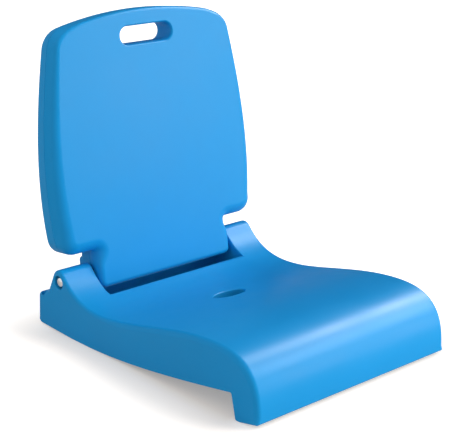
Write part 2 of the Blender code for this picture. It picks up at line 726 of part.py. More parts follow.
def build_backrest(pivot):
    outline, front_radii = back_outline()
    front = back_shell("backrest_front_shell", front_radii, front_place, pivot)
    fit_shell(front, -1, front_place, pivot)
    rear_radii = [REAR_RADIUS_TONGUE if radius == FRONT_RADIUS_TONGUE else REAR_RADIUS
                  for radius in front_radii]
    rear = back_shell("backrest_rear_shell", rear_radii, rear_place, pivot)
    fit_shell(rear, 1, rear_place, pivot)
    build_screws(pivot)


def build_screws(pivot):
    """Pan-head screws that draw the rear shell on to the front one."""
    neck = (SCREW_HEAD_DIAMETER - SCREW_DIAMETER) / 2
    for name, (x, z) in screw_places().items():
        shape = bmesh.new()
        add_rod(shape, SCREW_HEAD_DIAMETER, (0, 0, 0), (0, SCREW_HEAD_HEIGHT, 0), "Y", SCREW_STEPS)
        under = [face for face in shape.faces if face.normal.y < -0.9]
        bmesh.ops.inset_region(shape, faces=under, thickness=neck)
        shank = bmesh.ops.extrude_discrete_faces(shape, faces=under)["faces"][0]
        bmesh.ops.translate(shape, vec=(0, -SCREW_LENGTH, 0), verts=shank.verts)
        screw = add_part(name, mesh_of(shape, name), steel, pivot)
        screw.location = (x, SCREW_SEAT + GAP, z)


def build_hinge(origin, pivot):
    """Axle, end caps, bushes and thrust washers, from the middle outwards on each side."""
    axis = (0, AXIS_Y, AXIS_HEIGHT)
    flange_outer = CAP_SEAT + GAP + BUSH_FLANGE_THICKNESS
    cap_base = flange_outer + GAP
    axle_end = cap_base + CAP_BORE_DEPTH - GAP
    axle = bmesh.new()
    add_rod(axle, AXLE_DIAMETER, (-axle_end, 0, 0), (axle_end, 0, 0), "X")
    rims = [e for e in axle.edges if abs(e.verts[0].co.x - e.verts[1].co.x) < GAP]
    bmesh.ops.bevel(axle, geom=rims, offset=AXLE_CHAMFER, segments=1, affect="EDGES")
    rod = add_part("hinge_axle", mesh_of(axle, "hinge_axle"), steel, origin)
    rod.location = axis

    bore = AXLE_BORE / 2
    body = BUSH_DIAMETER / 2
    for side, word in ((-1, "left"), (1, "right")):
        inner = NOTCH_SIDE + GAP
        flange = BUSH_FLANGE_DIAMETER / 2
        turned("knuckle_bush_" + word,
               [(bore, inner), (body, inner), (body, CAP_SEAT + GAP), (flange, CAP_SEAT + GAP),
                (flange, flange_outer), (bore, flange_outer)],
               dark_acetal, origin, axis, side)
        tongue_face = TONGUE_SIDE + GAP
        tongue_out = tongue_face + TONGUE_FLANGE_THICKNESS
        tongue_in = TONGUE_SIDE - TONGUE_BUSH_LENGTH
        turned("tongue_bush_" + word,
               [(bore, tongue_in), (body, tongue_in), (body, tongue_face), (WASHER_DIAMETER / 2, tongue_face),
                (WASHER_DIAMETER / 2, tongue_out), (bore, tongue_out)],
               dark_acetal, pivot, (0, 0, 0), side)
        washer_in = tongue_out + GAP
        turned("thrust_washer_" + word,
               [(bore, washer_in), (WASHER_DIAMETER / 2, washer_in),
                (WASHER_DIAMETER / 2, washer_in + WASHER_THICKNESS), (bore, washer_in + WASHER_THICKNESS)],
               pale_nylon, origin, axis, side)
        build_cap("axle_cap_" + word, origin, axis, side, cap_base)


def build_cap(name, origin, axis, side, base):
    """Domed cap pushed on to the axle's end, level with the side of the knuckle."""
    top = KNUCKLE_SIDE - GAP
    rim = base + CAP_RIM
    radius = CAP_DIAMETER / 2
    steps = 4
    dome = [(radius * math.cos(math.pi / 2 * step / steps),
             rim + (top - rim) * math.sin(math.pi / 2 * step / steps))
            for step in range(steps)]
    turned(name, [(AXLE_BORE / 2, base), (radius, base), *dome, (0, top), (0, base + CAP_BORE_DEPTH),
                  (AXLE_BORE / 2, base + CAP_BORE_DEPTH)], bright_steel, origin, axis, side)


def build_buffers(origin):
    """Rubber buffers on the cross beam, where the heel of the reclined backrest lands."""
    depth = back_depth(0) + HEEL_REACH - HEEL_EDGE_RADIUS - BUFFER_WIDTH / 2
    tilt = Matrix.Rotation(-RECLINE, 4, "X")
    centre = tilt @ Vector((0, depth, -TONGUE_DROP + GAP))
    y = AXIS_Y + centre.y
    fall = math.tan(RECLINE) * BUFFER_WIDTH / 2
    top = AXIS_HEIGHT + centre.z - GAP / math.cos(RECLINE)
    base = BEAM_HEIGHT + GAP
    outline = [(y - BUFFER_WIDTH / 2, base), (y + BUFFER_WIDTH / 2, base),
               (y + BUFFER_WIDTH / 2, top - fall), (y - BUFFER_WIDTH / 2, top + fall)]
    for side, word in ((-1, "left"), (1, "right")):
        middle = side * BUFFER_SPACING / 2
        mesh = prism("stop_buffer_" + word, outline, middle - BUFFER_LENGTH / 2, middle + BUFFER_LENGTH / 2,
                     square_place)
        add_part("stop_buffer_" + word, mesh, black_rubber, origin)


def centre_over_floor(origin):
    """Put the origin under the middle of the chair's depth."""
    bpy.context.view_layer.update()
    graph = bpy.context.evaluated_depsgraph_get()
    depths = []
    for piece in parts.objects:
        if piece.type == "MESH":
            solid = piece.evaluated_get(graph)
            depths.extend((solid.matrix_world @ vertex.co).y for vertex in solid.data.vertices)
    origin.location.y = -(min(depths) + max(depths)) / 2
    bpy.context.view_layer.update()


clear_scene()
parts = new_collection("folding_floor_chair")
cutters = new_collection("folding_floor_chair_cutters")
blue_plastic = new_material("moulded_blue_polypropylene", MOULDED_BLUE, 0.38)
steel = new_material("zinc_plated_steel", (0.62, 0.63, 0.65, 1.0), 0.35, 1.0)
bright_steel = new_material("polished_steel", (0.80, 0.80, 0.80, 1.0), 0.15, 1.0)
dark_acetal = new_material("dark_acetal", (0.02, 0.02, 0.022, 1.0), 0.4)
pale_nylon = new_material("pale_nylon", (0.75, 0.74, 0.70, 1.0), 0.45)
black_rubber = new_material("black_rubber", (0.02, 0.02, 0.02, 1.0), 0.8)

chair_origin = new_empty("chair_origin", (0, 0, 0))
hinge_pivot = new_empty("hinge_pivot", (0, AXIS_Y, AXIS_HEIGHT), chair_origin)
hinge_pivot.rotation_euler = (-RECLINE, 0, 0)
build_seat(chair_origin)
build_backrest(hinge_pivot)
build_hinge(chair_origin, hinge_pivot)
build_buffers(chair_origin)
centre_over_floor(chair_origin)
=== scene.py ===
import json
import math

import bmesh
import bpy
from mathutils import Matrix, Vector


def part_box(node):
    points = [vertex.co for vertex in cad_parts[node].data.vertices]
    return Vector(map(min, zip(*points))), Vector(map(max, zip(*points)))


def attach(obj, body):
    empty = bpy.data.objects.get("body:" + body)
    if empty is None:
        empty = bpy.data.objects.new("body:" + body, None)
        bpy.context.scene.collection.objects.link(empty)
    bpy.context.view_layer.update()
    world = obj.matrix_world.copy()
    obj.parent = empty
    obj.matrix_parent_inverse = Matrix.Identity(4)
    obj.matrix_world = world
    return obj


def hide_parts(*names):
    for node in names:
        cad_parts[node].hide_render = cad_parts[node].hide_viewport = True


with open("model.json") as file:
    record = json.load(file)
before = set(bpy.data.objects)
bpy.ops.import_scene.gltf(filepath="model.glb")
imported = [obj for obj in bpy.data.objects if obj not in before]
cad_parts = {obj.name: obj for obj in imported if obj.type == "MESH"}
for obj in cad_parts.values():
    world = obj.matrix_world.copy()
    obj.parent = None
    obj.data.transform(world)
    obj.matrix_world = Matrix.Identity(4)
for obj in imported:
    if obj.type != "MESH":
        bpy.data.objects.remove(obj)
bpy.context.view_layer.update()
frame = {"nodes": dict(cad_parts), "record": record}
hinge = Vector(frame["record"]["behaviour"]["joints"][0]["pos_m"])

# Seat moulding
# One open-bottomed shell of blue polypropylene, injection moulded in one shot: front lip, dished pan, side
# skirts, two hinge knuckles, rear lugs and the beam between them. It stands on the floor by its own weight.
seat_half_rear = 0.214
seat_half_front = 0.2075
seat_wall = 0.004
knuckle_edge = 0.006
lip_edge = 0.0095
rim_edge = 0.0012
lip_reach = 0.047
axle_from_heel = 0.441
heel_y = hinge.y - axle_from_heel
axle_height = hinge.z
rear_y = 0.504
knuckle_peak = (0.447, 0.1245)
knuckle_slope = (0.424, 0.100)
crest_roll = 0.016
lug_root = (0.474, 0.070)
lug_root_roll = 0.003
lug_top = 0.058
lug_roll = 0.009
lug_hole_x = 0.2095
lug_hole_y = 0.490
notch_side = 0.1503
pan_edge_y = 0.392
pan_edge_roll = 0.012
beam_y = 0.4565
beam_top = 0.060
drain_y = 0.248
drain_half = (0.032, 0.020)
arc_step = math.radians(6)
weld_distance = 0.000002


def bezier(start, start_handle, end_handle, end, steps):
    """Points along a cubic curve, without its last point."""
    points = []
    for step in range(steps):
        t = step / steps
        weights = ((1 - t) ** 3, 3 * t * (1 - t) ** 2, 3 * t * t * (1 - t), t ** 3)
        anchors = (start, start_handle, end_handle, end)
        points.append(tuple(sum(w * a[axis] for w, a in zip(weights, anchors)) for axis in range(2)))
    return points


def arc(centre, radius, start, end):
    """Points on a circle from one angle to another, both ends included."""
    steps = max(2, math.ceil(abs(end - start) / arc_step))
    angles = [start + (end - start) * step / steps for step in range(steps + 1)]
    return [(centre[0] + radius * math.cos(a), centre[1] + radius * math.sin(a)) for a in angles]


def rounded(corners):
    """Closed outline whose corners, given as (u, v) or (u, v, radius), are rounded."""
    outline = []
    for index, corner in enumerate(corners):
        if len(corner) == 2:
            outline.append(corner)
            continue
        here = Vector(corner[:2])
        back = (Vector(corners[index - 1][:2]) - here).normalized()
        ahead = (Vector(corners[(index + 1) % len(corners)][:2]) - here).normalized()
        half = back.angle(ahead) / 2
        centre = here + (back + ahead).normalized() * corner[2] / math.sin(half)
        first = here + back * corner[2] / math.tan(half) - centre
        turn = -first.angle_signed(here + ahead * corner[2] / math.tan(half) - centre)
        start = math.atan2(first.y, first.x)
        outline.extend(arc(centre, corner[2], start, start + turn))
    return outline


def inset(outline, distances):
    """The outline moved inwards, each point by its own distance."""
    count = len(outline)
    sides = [(outline[i - 1], outline[i]) for i in range(count)]
    area = sum(first[0] * second[1] - second[0] * first[1] for first, second in sides)
    inward = 1 if area > 0 else -1
    moved = []
    for index, point in enumerate(outline):
        here = Vector(point)
        before = (here - Vector(outline[index - 1])).normalized()
        after = (Vector(outline[(index + 1) % count]) - here).normalized()
        normal_before = Vector((-before.y, before.x)) * inward
        normal_after = Vector((-after.y, after.x)) * inward
        mitre = (normal_before + normal_after).normalized()
        moved.append(tuple(here + mitre * distances[index] / mitre.dot(normal_before)))
    return moved


def rounded_end(outline, radii, end, steps=8, leans=None):
    """Rings of (u, v, depth) that lean an extruded outline in and round it off towards its end.

    The end is a depth that goes by v, and each point has its own radius and its own lean, an angle.
    """
    rings = []
    leans = leans or [0.0] * len(outline)
    for step in range(steps + 1):
        moves, drops = [], []
        for (u, v), radius, lean in zip(outline, radii, leans):
            angle = lean + (math.pi / 2 - lean) * step / steps
            moves.append(end(v) * math.tan(lean)
                         + radius * ((1 - math.sin(lean)) / math.cos(lean) - math.cos(angle)))
            drops.append(radius * (1 - math.sin(angle)))
        rings.append([(u, v, end(v) - drop) for (u, v), drop in zip(inset(outline, moves), drops)])
    return rings


def add_object(name, data):
    """An object in the scene, at the origin."""
    item = bpy.data.objects.new(name, data)
    bpy.context.scene.collection.objects.link(item)
    return item


def new_piece(name, shape):
    """A mesh object from a bmesh, its faces turned outwards."""
    bmesh.ops.recalc_face_normals(shape, faces=shape.faces)
    mesh = bpy.data.meshes.new(name)
    shape.to_mesh(mesh)
    shape.free()
    return add_object(name, mesh)


def loft(name, rings, place):
    """A closed skin over rings of points, with flat end faces."""
    shape = bmesh.new()
    loops = [[shape.verts.new(place(point)) for point in ring] for ring in rings]
    for low, high in zip(loops, loops[1:]):
        for index in range(len(low)):
            shape.faces.new((low[index - 1], low[index], high[index], high[index - 1]))
    shape.faces.new(loops[0])
    shape.faces.new(loops[-1])
    return new_piece(name, shape)


def prism(name, outline, low, high, place):
    """An outline extruded between two depths."""
    return loft(name, [[(u, v, depth) for u, v in outline] for depth in (low, high)], place)


def turned(name, profile, place, steps=64):
    """A (radius, along) profile spun about its axis: closed on itself, or from pole to pole."""
    shape = bmesh.new()
    rings = []
    for radius, along in profile:
        count = steps if radius > 0 else 1
        turns = [2 * math.pi * step / steps for step in range(count)]
        ring = [(radius * math.cos(a), radius * math.sin(a), along) for a in turns]
        rings.append([shape.verts.new(place(point)) for point in ring])
    pairs = list(zip(rings, rings[1:]))
    if profile[0][0] > 0:
        pairs.append((rings[-1], rings[0]))
    for low, high in pairs:
        for step in range(steps):
            ahead = step + 1
            corners = (low[step % len(low)], low[ahead % len(low)],
                       high[ahead % len(high)], high[step % len(high)])
            shape.faces.new(tuple(dict.fromkeys(corners)))
    return new_piece(name, shape)


def settled(piece):
    """The piece's modifiers made plain mesh."""
    bpy.context.view_layer.update()
    graph = bpy.context.evaluated_depsgraph_get()
    mesh = bpy.data.meshes.new_from_object(piece.evaluated_get(graph), preserve_all_data_layers=True,
                                           depsgraph=graph)
    spare = piece.data
    piece.modifiers.clear()
    piece.data = mesh
    mesh.name = piece.name
    bpy.data.meshes.remove(spare)


def carve(piece, tool, operation="DIFFERENCE"):
    """Cut a tool out of a piece, or weld it on, and use the tool up."""
    cut = piece.modifiers.new("cut", "BOOLEAN")
    cut.operation = operation
    cut.solver = "EXACT"
    cut.object = tool
    settled(piece)
    bpy.data.meshes.remove(tool.data)
    shape = bmesh.new()
    shape.from_mesh(piece.data)
    bmesh.ops.remove_doubles(shape, verts=shape.verts, dist=weld_distance)
    bmesh.ops.dissolve_degenerate(shape, edges=shape.edges, dist=weld_distance)
    shape.to_mesh(piece.data)
    shape.free()


def smooth(piece, crease=35):
    """Smooth shading whose normals favour the broad faces, with creases left sharp."""
    piece.data.shade_smooth()
    piece.data.set_sharp_from_angle(angle=math.radians(crease))
    broad = piece.modifiers.new("broad_faces", "WEIGHTED_NORMAL")
    broad.keep_sharp = True
    settled(piece)


def ease(share):
    """A share held between 0 and 1 that starts and ends gently."""
    share = min(1, max(0, share))
    return share * share * (3 - 2 * share)


def seat_half_at(y):
    """Half the seat's width: the sides draw in towards the lip."""
    share = (y + lip_reach) / (axle_from_heel + lip_reach)
    return seat_half_front + (seat_half_rear - seat_half_front) * share


def drawn_in(point):
    """Places a point of the side profile, measured from the heel, drawn in with the sides."""
    y, z, x = point
    return (x * seat_half_at(y) / seat_half_rear, heel_y + y, z)


def straight(point):
    """Places a point of the side profile, measured from the heel, with no drawing in."""
    y, z, x = point
    return (x, heel_y + y, z)


def from_axle(side):
    """Places a turned profile on the hinge axis, its distances running out to one side."""
    return lambda point: (side * point[2], hinge.y + point[0], axle_height + point[1])


def in_lug(side):
    """Places a turned profile in a lug's fixing hole, its distances running up from the floor."""
    return lambda point: (side * lug_hole_x + point[0], heel_y + lug_hole_y + point[1], point[2])


# Side profile as (y from the heel, height): up the lip, over hump, dish, knuckle and lug, and back under the
# arch. The handles of its curves are shares of their runs.
toe = (-lip_reach, 0.007)
toe_roll = 0.0045
hump = (0.045, 0.1072)
dish = (0.332, 0.0645)
foot = (rear_y, 0.004)
foot_roll = 0.008
skid = (0.372, 0.0)
skid_length = 0.036
step_top = (0.009, 0.041)
step_roll = 0.003
heel_flat = 0.008
lip_rise = hump[1] - toe[1]
pan_run = dish[0] - hump[0]
rise_run = knuckle_slope[0] - dish[0]
climb = Vector(knuckle_peak) - Vector(knuckle_slope)
arch_span = skid[0] - step_top[0]
lip_curve = bezier(toe, (toe[0] - 0.06 * lip_reach, toe[1] + 0.67 * lip_rise),
                   (hump[0] - 0.74 * (hump[0] - toe[0]), hump[1]), hump, steps=48)
pan_curve = bezier(hump, (hump[0] + 0.35 * pan_run, hump[1]),
                   (dish[0] - 0.29 * pan_run, dish[1]), dish, steps=56)
rise_curve = bezier(dish, (dish[0] + 0.43 * rise_run, dish[1]),
                    tuple(Vector(knuckle_slope) - 0.9 * climb), knuckle_slope, steps=30)
arch_curve = bezier(skid, (skid[0] - 0.31 * arch_span, 0.0),
                    (step_top[0] + 0.33 * arch_span, 0.50 * step_top[1]), step_top, steps=32)
over_knuckle = [knuckle_slope, (*knuckle_peak, crest_roll), (*lug_root, lug_root_roll),
                (rear_y, lug_top, lug_roll)]
skin_run = [(*toe, toe_roll), *lip_curve[2:], *pan_curve, *rise_curve, *over_knuckle]
seat_profile = rounded([*skin_run, (*foot, foot_roll), (skid[0] + skid_length, 0.0), *arch_curve,
                        (*step_top, step_roll), (0.0, 0.0, step_roll), (-heel_flat, 0.0)])
skin_count = len(rounded([*skin_run, (rear_y, 0.0)])) - 1

# Where the edge radius passes from lip and pan to the knuckle, and from the skin to the rim on the floor
broad_end = 0.36
broad_fade = 0.10
rim_height = 0.006
rim_fade = 0.017
toe_drop = 0.005


def side_roll(y, z):
    """Radius between the skin and the side: broad along lip and pan, less at the knuckle, fine at the rim."""
    forward = ease((broad_end - y) / broad_fade)
    broad = knuckle_edge + (lip_edge - knuckle_edge) * forward
    return rim_edge + (broad - rim_edge) * ease((z - rim_height + toe_drop * forward) / rim_fade)


edge_radii = [side_roll(y, z) if index < skin_count else rim_edge
              for index, (y, z) in enumerate(seat_profile)]
right_rings = rounded_end(seat_profile, edge_radii, lambda z: seat_half_rear)
left_rings = [[(y, z, -x) for y, z, x in ring] for ring in reversed(right_rings)]
seat = loft("seat_moulding", left_rings + right_rings, drawn_in)

# The hollow under the skin, less the walls round the notch, the lip's rear wall, the barrels, the lug posts and
# the collar round the drain slot. Every cutter runs on clear of what it cuts.
under_floor = -0.02
under_hollow = -0.03
over_lugs = 0.09
over_knuckles = 0.16
past_sides = 0.23
past_rear = rear_y + 0.02
skin = rounded([*lip_curve, *pan_curve, *rise_curve, *over_knuckle, (rear_y, 0.0), (-lip_reach, 0.0)])
inner_skin = inset(skin, [seat_wall] * len(skin))
hollow_outline = [*inner_skin[:-2], (inner_skin[-2][0], under_floor), (inner_skin[-1][0], under_floor)]
hollow = prism("hollow", hollow_outline, seat_wall - seat_half_rear, seat_half_rear - seat_wall, drawn_in)


def skin_height(y):
    """Height of the skin over a place between the hump and the knuckle."""
    run = pan_curve + rise_curve + [knuckle_slope]
    for (y0, z0), (y1, z1) in zip(run, run[1:]):
        if y0 <= y <= y1:
            return z0 + (z1 - z0) * (y - y0) / (y1 - y0)


# The notch for the tongue runs from the pan's rolled rear edge to the beam
probe = 0.001
roll_y = pan_edge_y - pan_edge_roll
roll_tilt = math.atan((skin_height(roll_y + probe) - skin_height(roll_y - probe)) / (2 * probe))
roll_z = skin_height(roll_y) - pan_edge_roll / math.cos(roll_tilt)
roll = arc((roll_y, roll_z), pan_edge_roll, math.pi / 2 + roll_tilt, 0)
notch_outline = [(roll[0][0], over_knuckles), *roll, (pan_edge_y, under_floor), (beam_y, under_floor),
                 (beam_y, beam_top), (past_rear, beam_top), (past_rear, over_knuckles)]
wall_outline = inset(notch_outline, [-seat_wall] * len(notch_outline))
carve(hollow, prism("notch_wall", wall_outline, -notch_side - seat_wall, notch_side + seat_wall, straight))
lip_wall_foot = -0.004
lip_wall_run = 0.0046
lip_wall_top = 0.12
step_lean = step_top[0] / step_top[1]
lip_wall = [(lip_wall_foot + step_lean * z + run, z) for z, run in
            ((under_hollow, 0), (under_hollow, lip_wall_run), (lip_wall_top, lip_wall_run), (lip_wall_top, 0))]
carve(hollow, prism("lip_wall", lip_wall, -past_sides, past_sides, straight))


def rod(radius, low, high):
    """Profile of a plain round bar, for turning."""
    return [(0, low), (radius, low), (radius, high), (0, high)]


barrel_inner = 0.1523
barrel_radius = 0.0116
cup_start = 0.199
cup_full = 0.203
cup_radius = 0.0148
post_radius = 0.0105
barrel = [(0, barrel_inner), (barrel_radius, barrel_inner), (barrel_radius, cup_start), (cup_radius, cup_full),
          (cup_radius, past_sides), (0, past_sides)]
for side in (-1, 1):
    carve(hollow, turned("barrel", barrel, from_axle(side)))
    carve(hollow, turned("lug_post", rod(post_radius, under_hollow, over_lugs), in_lug(side)))
drain_points = 72
collar_wall = 0.003
collar_depth = 0.015


def drain_oval(grow):
    """The drain slot's outline as (y, x), grown all round."""
    turns = [2 * math.pi * turn / drain_points for turn in range(drain_points)]
    return [(drain_y + (drain_half[1] + grow) * math.sin(a), (drain_half[0] + grow) * math.cos(a))
            for a in turns]


collar = [[(y, skin_height(y) - drop, x) for y, x in drain_oval(collar_wall)] for drop in (collar_depth, 0.0)]
carve(hollow, loft("drain_collar", collar, straight))
carve(seat, hollow)
carve(seat, prism("notch", notch_outline, -notch_side, notch_side, straight))


def rolled_mouth(radius, steps=7):
    """The rim of an opening as (growth, depth under the skin), rolled over and run on clear of the skin."""
    last = math.radians(68)
    angles = [last * step / steps for step in range(steps + 1)]
    rim = [(radius * (1 - math.cos(a)), radius * (math.sin(last) - math.sin(a))) for a in angles]
    return [*rim, (rim[-1][0] + radius * math.sin(last), -radius * math.cos(last))]


def recess(floor, floor_radius, mouth, mouth_radius, rim_roll, top, steps=7):
    """Profile of a round recess with a rolled rim, for turning, run on to a top clear of the skin."""
    rim = [(mouth_radius + grow, mouth - depth) for grow, depth in rolled_mouth(rim_roll, steps)]
    return [(0, floor), (floor_radius, floor), *rim, (rim[-1][0], top), (0, top)]


# Rounded inner edges of the knuckles, which fade out at the pan and at the lug, then rimmed recesses for the axle
# caps, bores for the bushes, and a countersunk screw hole in each lug
inner_roll = 0.0034
inner_overlap = 0.0008
inner_skim = 0.0002
inner_start = 0.001
inner_fade_in = 0.010
inner_end = 0.493
inner_fade_out = 0.008
edge_end = 0.494
edge_low = 0.05
cap_recess = recess(floor=0.206, floor_radius=0.01175, mouth=seat_half_rear, mouth_radius=0.01175,
                    rim_roll=0.0012, top=past_sides)
bore_radius = 0.0086
knuckle_bore = rod(bore_radius, low=0.14, high=0.21)
countersink = recess(floor=0.0548, floor_radius=0.0040, mouth=0.0628, mouth_radius=0.0088, rim_roll=0.001,
                     top=over_lugs)
lug_hole = rod(radius=0.00325, low=under_floor, high=0.06)
edge_span = [index for index, (y, z) in enumerate(seat_profile[:skin_count])
             if roll_y < y < edge_end and z > edge_low]
knuckle_rim = rolled_mouth(inner_roll)
for side in (-1, 1):
    rings = []
    for grow, depth in [(-inner_overlap, knuckle_rim[0][1]), *knuckle_rim]:
        fall = [0.0] * len(seat_profile)
        for index in edge_span:
            y = seat_profile[index][0]
            fade_in = ease((y - roll_y - inner_start) / inner_fade_in)
            fade_out = ease((inner_end - y) / inner_fade_out)
            fall[index] = (depth + inner_skim) * fade_in * fade_out - inner_skim
        lowered = inset(seat_profile, fall)
        edge = [lowered[index] for index in edge_span]
        rings.append([(y, z, side * (notch_side + grow)) for y, z in
                      [*edge, (edge[-1][0], over_knuckles), (edge[0][0], over_knuckles)]])
    carve(seat, loft("knuckle_edge", rings, straight))
    carve(seat, turned("cap_recess", cap_recess, from_axle(side)))
    carve(seat, turned("bush_bore", knuckle_bore, from_axle(side)))
    carve(seat, turned("lug_recess", countersink, in_lug(side), steps=48))
    carve(seat, turned("lug_hole", lug_hole, in_lug(side), steps=32))

# Drain slot, through its collar, with a rim that rolls over into the pan
drain_roll = 0.0024
drain_rim = rolled_mouth(drain_roll)
below_collar = 0.03
over_pan = 0.02
rings = [[(y, skin_height(y) - depth, x) for y, x in drain_oval(grow)]
         for grow, depth in [(0, below_collar), *drain_rim, (drain_rim[-1][0], -over_pan)]]
carve(seat, loft("drain_slot", rings, straight))
smooth(seat)


def linear(colour):
    """An sRGB hex colour as the linear RGBA that a shader takes."""
    channels = [int(colour[i:i + 2], 16) / 255 for i in (1, 3, 5)]
    return (*[c / 12.92 if c <= 0.04045 else ((c + 0.055) / 1.055) ** 2.4 for c in channels], 1.0)


def add_node(tree, kind, inputs=(), **settings):
    """A node with its settings, its inputs set to a value or linked: from a socket, or a node's first output."""
    node = tree.nodes.new(kind)
    for name, value in settings.items():
        setattr(node, name, value)
    for name, value in dict(inputs).items():
        if isinstance(value, bpy.types.Node):
            value = value.outputs[0]
        if isinstance(value, bpy.types.NodeSocket):
            tree.links.new(value, node.inputs[name])
        else:
            node.inputs[name].default_value = value
    return node


def new_material(name):
    """A material, its empty node tree, and the coordinates that patterns read."""
    material = bpy.data.materials.new(name)
    material.use_nodes = True
    tree = material.node_tree
    tree.nodes.clear()
    return material, tree, add_node(tree, "ShaderNodeTexCoord").outputs["Object"]


# Moulded polypropylene, spark-eroded satin: a clear bright blue that drifts by a shade where the melt flowed. The
# fine grain spreads the highlights and breaks up most of the mirror gloss, so the specular level is low. The real
# grit of 0.1 mm is drawn at 0.9 mm so that it shows.
flow_length = 0.085
grit_size = 0.0009
polypropylene, tree, place = new_material("moulded_polypropylene")
flow = add_node(tree, "ShaderNodeTexNoise", {"Vector": place, "Scale": 1 / flow_length, "Detail": 3.0,
                                             "Roughness": 0.55})
grain = add_node(tree, "ShaderNodeTexNoise", {"Vector": place, "Scale": 1 / grit_size, "Detail": 2.0,
                                              "Roughness": 0.6})
blue = add_node(tree, "ShaderNodeMix", {0: flow, 6: linear("#1292D5"), 7: linear("#1697DB")},
                data_type="RGBA")
satin = add_node(tree, "ShaderNodeMapRange", {"Value": flow, "From Min": 0.3, "From Max": 0.7,
                                              "To Min": 0.34, "To Max": 0.42})
grit = add_node(tree, "ShaderNodeBump", {"Height": grain, "Strength": 0.06, "Distance": 0.0003})
shader = add_node(tree, "ShaderNodeBsdfPrincipled", {
    "Base Color": blue.outputs[2], "Roughness": satin, "Normal": grit, "IOR": 1.49,
    "Specular IOR Level": 0.12})
add_node(tree, "ShaderNodeOutputMaterial", {"Surface": shader})
seat.data.materials.clear()
seat.data.materials.append(polypropylene)
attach(seat, "seat")
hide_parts("seat_shell")

# Ribs under the pan
# Thin walls of the same shot of polypropylene, three pairs fore and aft and seven across, drafted so that the
# mould lets go. They hang from the skin and stiffen the pan.
rib_thickness = 0.003
rib_depth = 0.014
rib_draft = 0.28
rib_spacing = 0.052
rib_front = 0.046
rib_rear = 0.3885
rib_stations = 60
first_rib_x = 0.038
pair_count = 3
root_in_wall = 0.6
end_in_wall = 0.95
rows_ahead = 4
rows_behind = 3


def under_pan(y):
    """Underside of the pan's wall, round the rolled edge too, with the rib's root let into it."""
    top = skin_height(y)
    if y > roll_y:
        top = min(top, roll_z + math.sqrt(max(0, pan_edge_roll ** 2 - (y - roll_y) ** 2)))
    return top - root_in_wall * seat_wall


def rib_low(y):
    """Height of a rib's lower edge."""
    return skin_height(y) - seat_wall - rib_depth


blade = bmesh.new()
rib_root = rib_thickness / 2
rib_tip = rib_root * (1 - rib_draft)
rows = []
for station in range(rib_stations + 1):
    y = rib_front + (rib_rear - rib_front) * station / rib_stations
    top, low = under_pan(y), rib_low(y)
    rows.append([blade.verts.new((x, heel_y + y, z)) for x, z in
                 ((-rib_root, top), (rib_root, top), (rib_tip, low), (-rib_tip, low))])
for first, second in zip(rows, rows[1:]):
    for corner in range(4):
        blade.faces.new((first[corner - 1], first[corner], second[corner], second[corner - 1]))
blade.faces.new(rows[0])
blade.faces.new(rows[-1])
lengthwise_ribs = new_piece("lengthwise_ribs", blade)


def copying_tree(name, source, inputs):
    """A Geometry Nodes tree that takes a geometry and named inputs, and the outputs that give them inside."""
    tree = bpy.data.node_groups.new(name, "GeometryNodeTree")
    tree.interface.new_socket("Geometry", in_out="OUTPUT", socket_type="NodeSocketGeometry")
    tree.interface.new_socket(source, in_out="INPUT", socket_type="NodeSocketGeometry")
    for label, kind in inputs.items():
        tree.interface.new_socket(label, in_out="INPUT", socket_type="NodeSocket" + kind)
    return tree, add_node(tree, "NodeGroupInput").outputs


def make_copies(piece, tree, copies, material, sizes):
    """End the tree in plain mesh of one material, set its inputs by their identifiers and settle the piece."""
    plain = add_node(tree, "GeometryNodeRealizeInstances", {"Geometry": copies})
    finish = add_node(tree, "GeometryNodeSetMaterial", {"Geometry": plain, "Material": material})
    add_node(tree, "NodeGroupOutput", {"Geometry": finish})
    spread = piece.modifiers.new(tree.name, "NODES")
    spread.node_group = tree
    for socket in tree.interface.items_tree:
        if socket.name in sizes:
            spread[socket.identifier] = sizes[socket.name]
    settled(piece)


tree, given = copying_tree("ribs_fore_and_aft", "Blade",
                           {"First rib from the middle": "Float", "Spacing": "Float", "Pairs": "Int"})
both = add_node(tree, "GeometryNodeJoinGeometry")
for side in (-1.0, 1.0):
    start = add_node(tree, "ShaderNodeMath", {0: given["First rib from the middle"], 1: side},
                     operation="MULTIPLY")
    pitch = add_node(tree, "ShaderNodeMath", {0: given["Spacing"], 1: side}, operation="MULTIPLY")
    start_at = add_node(tree, "ShaderNodeCombineXYZ", {"X": start})
    pitch_by = add_node(tree, "ShaderNodeCombineXYZ", {"X": pitch})
    line = add_node(tree, "GeometryNodeMeshLine", {"Count": given["Pairs"], "Offset": pitch_by,
                                                   "Start Location": start_at}, mode="OFFSET")
    tree.links.new(line.outputs[0], both.inputs[0])
copies = add_node(tree, "GeometryNodeInstanceOnPoints", {"Points": both, "Instance": given["Blade"]})
make_copies(lengthwise_ribs, tree, copies, polypropylene, {
    "First rib from the middle": first_rib_x, "Spacing": rib_spacing, "Pairs": pair_count})
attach(lengthwise_ribs, "seat")

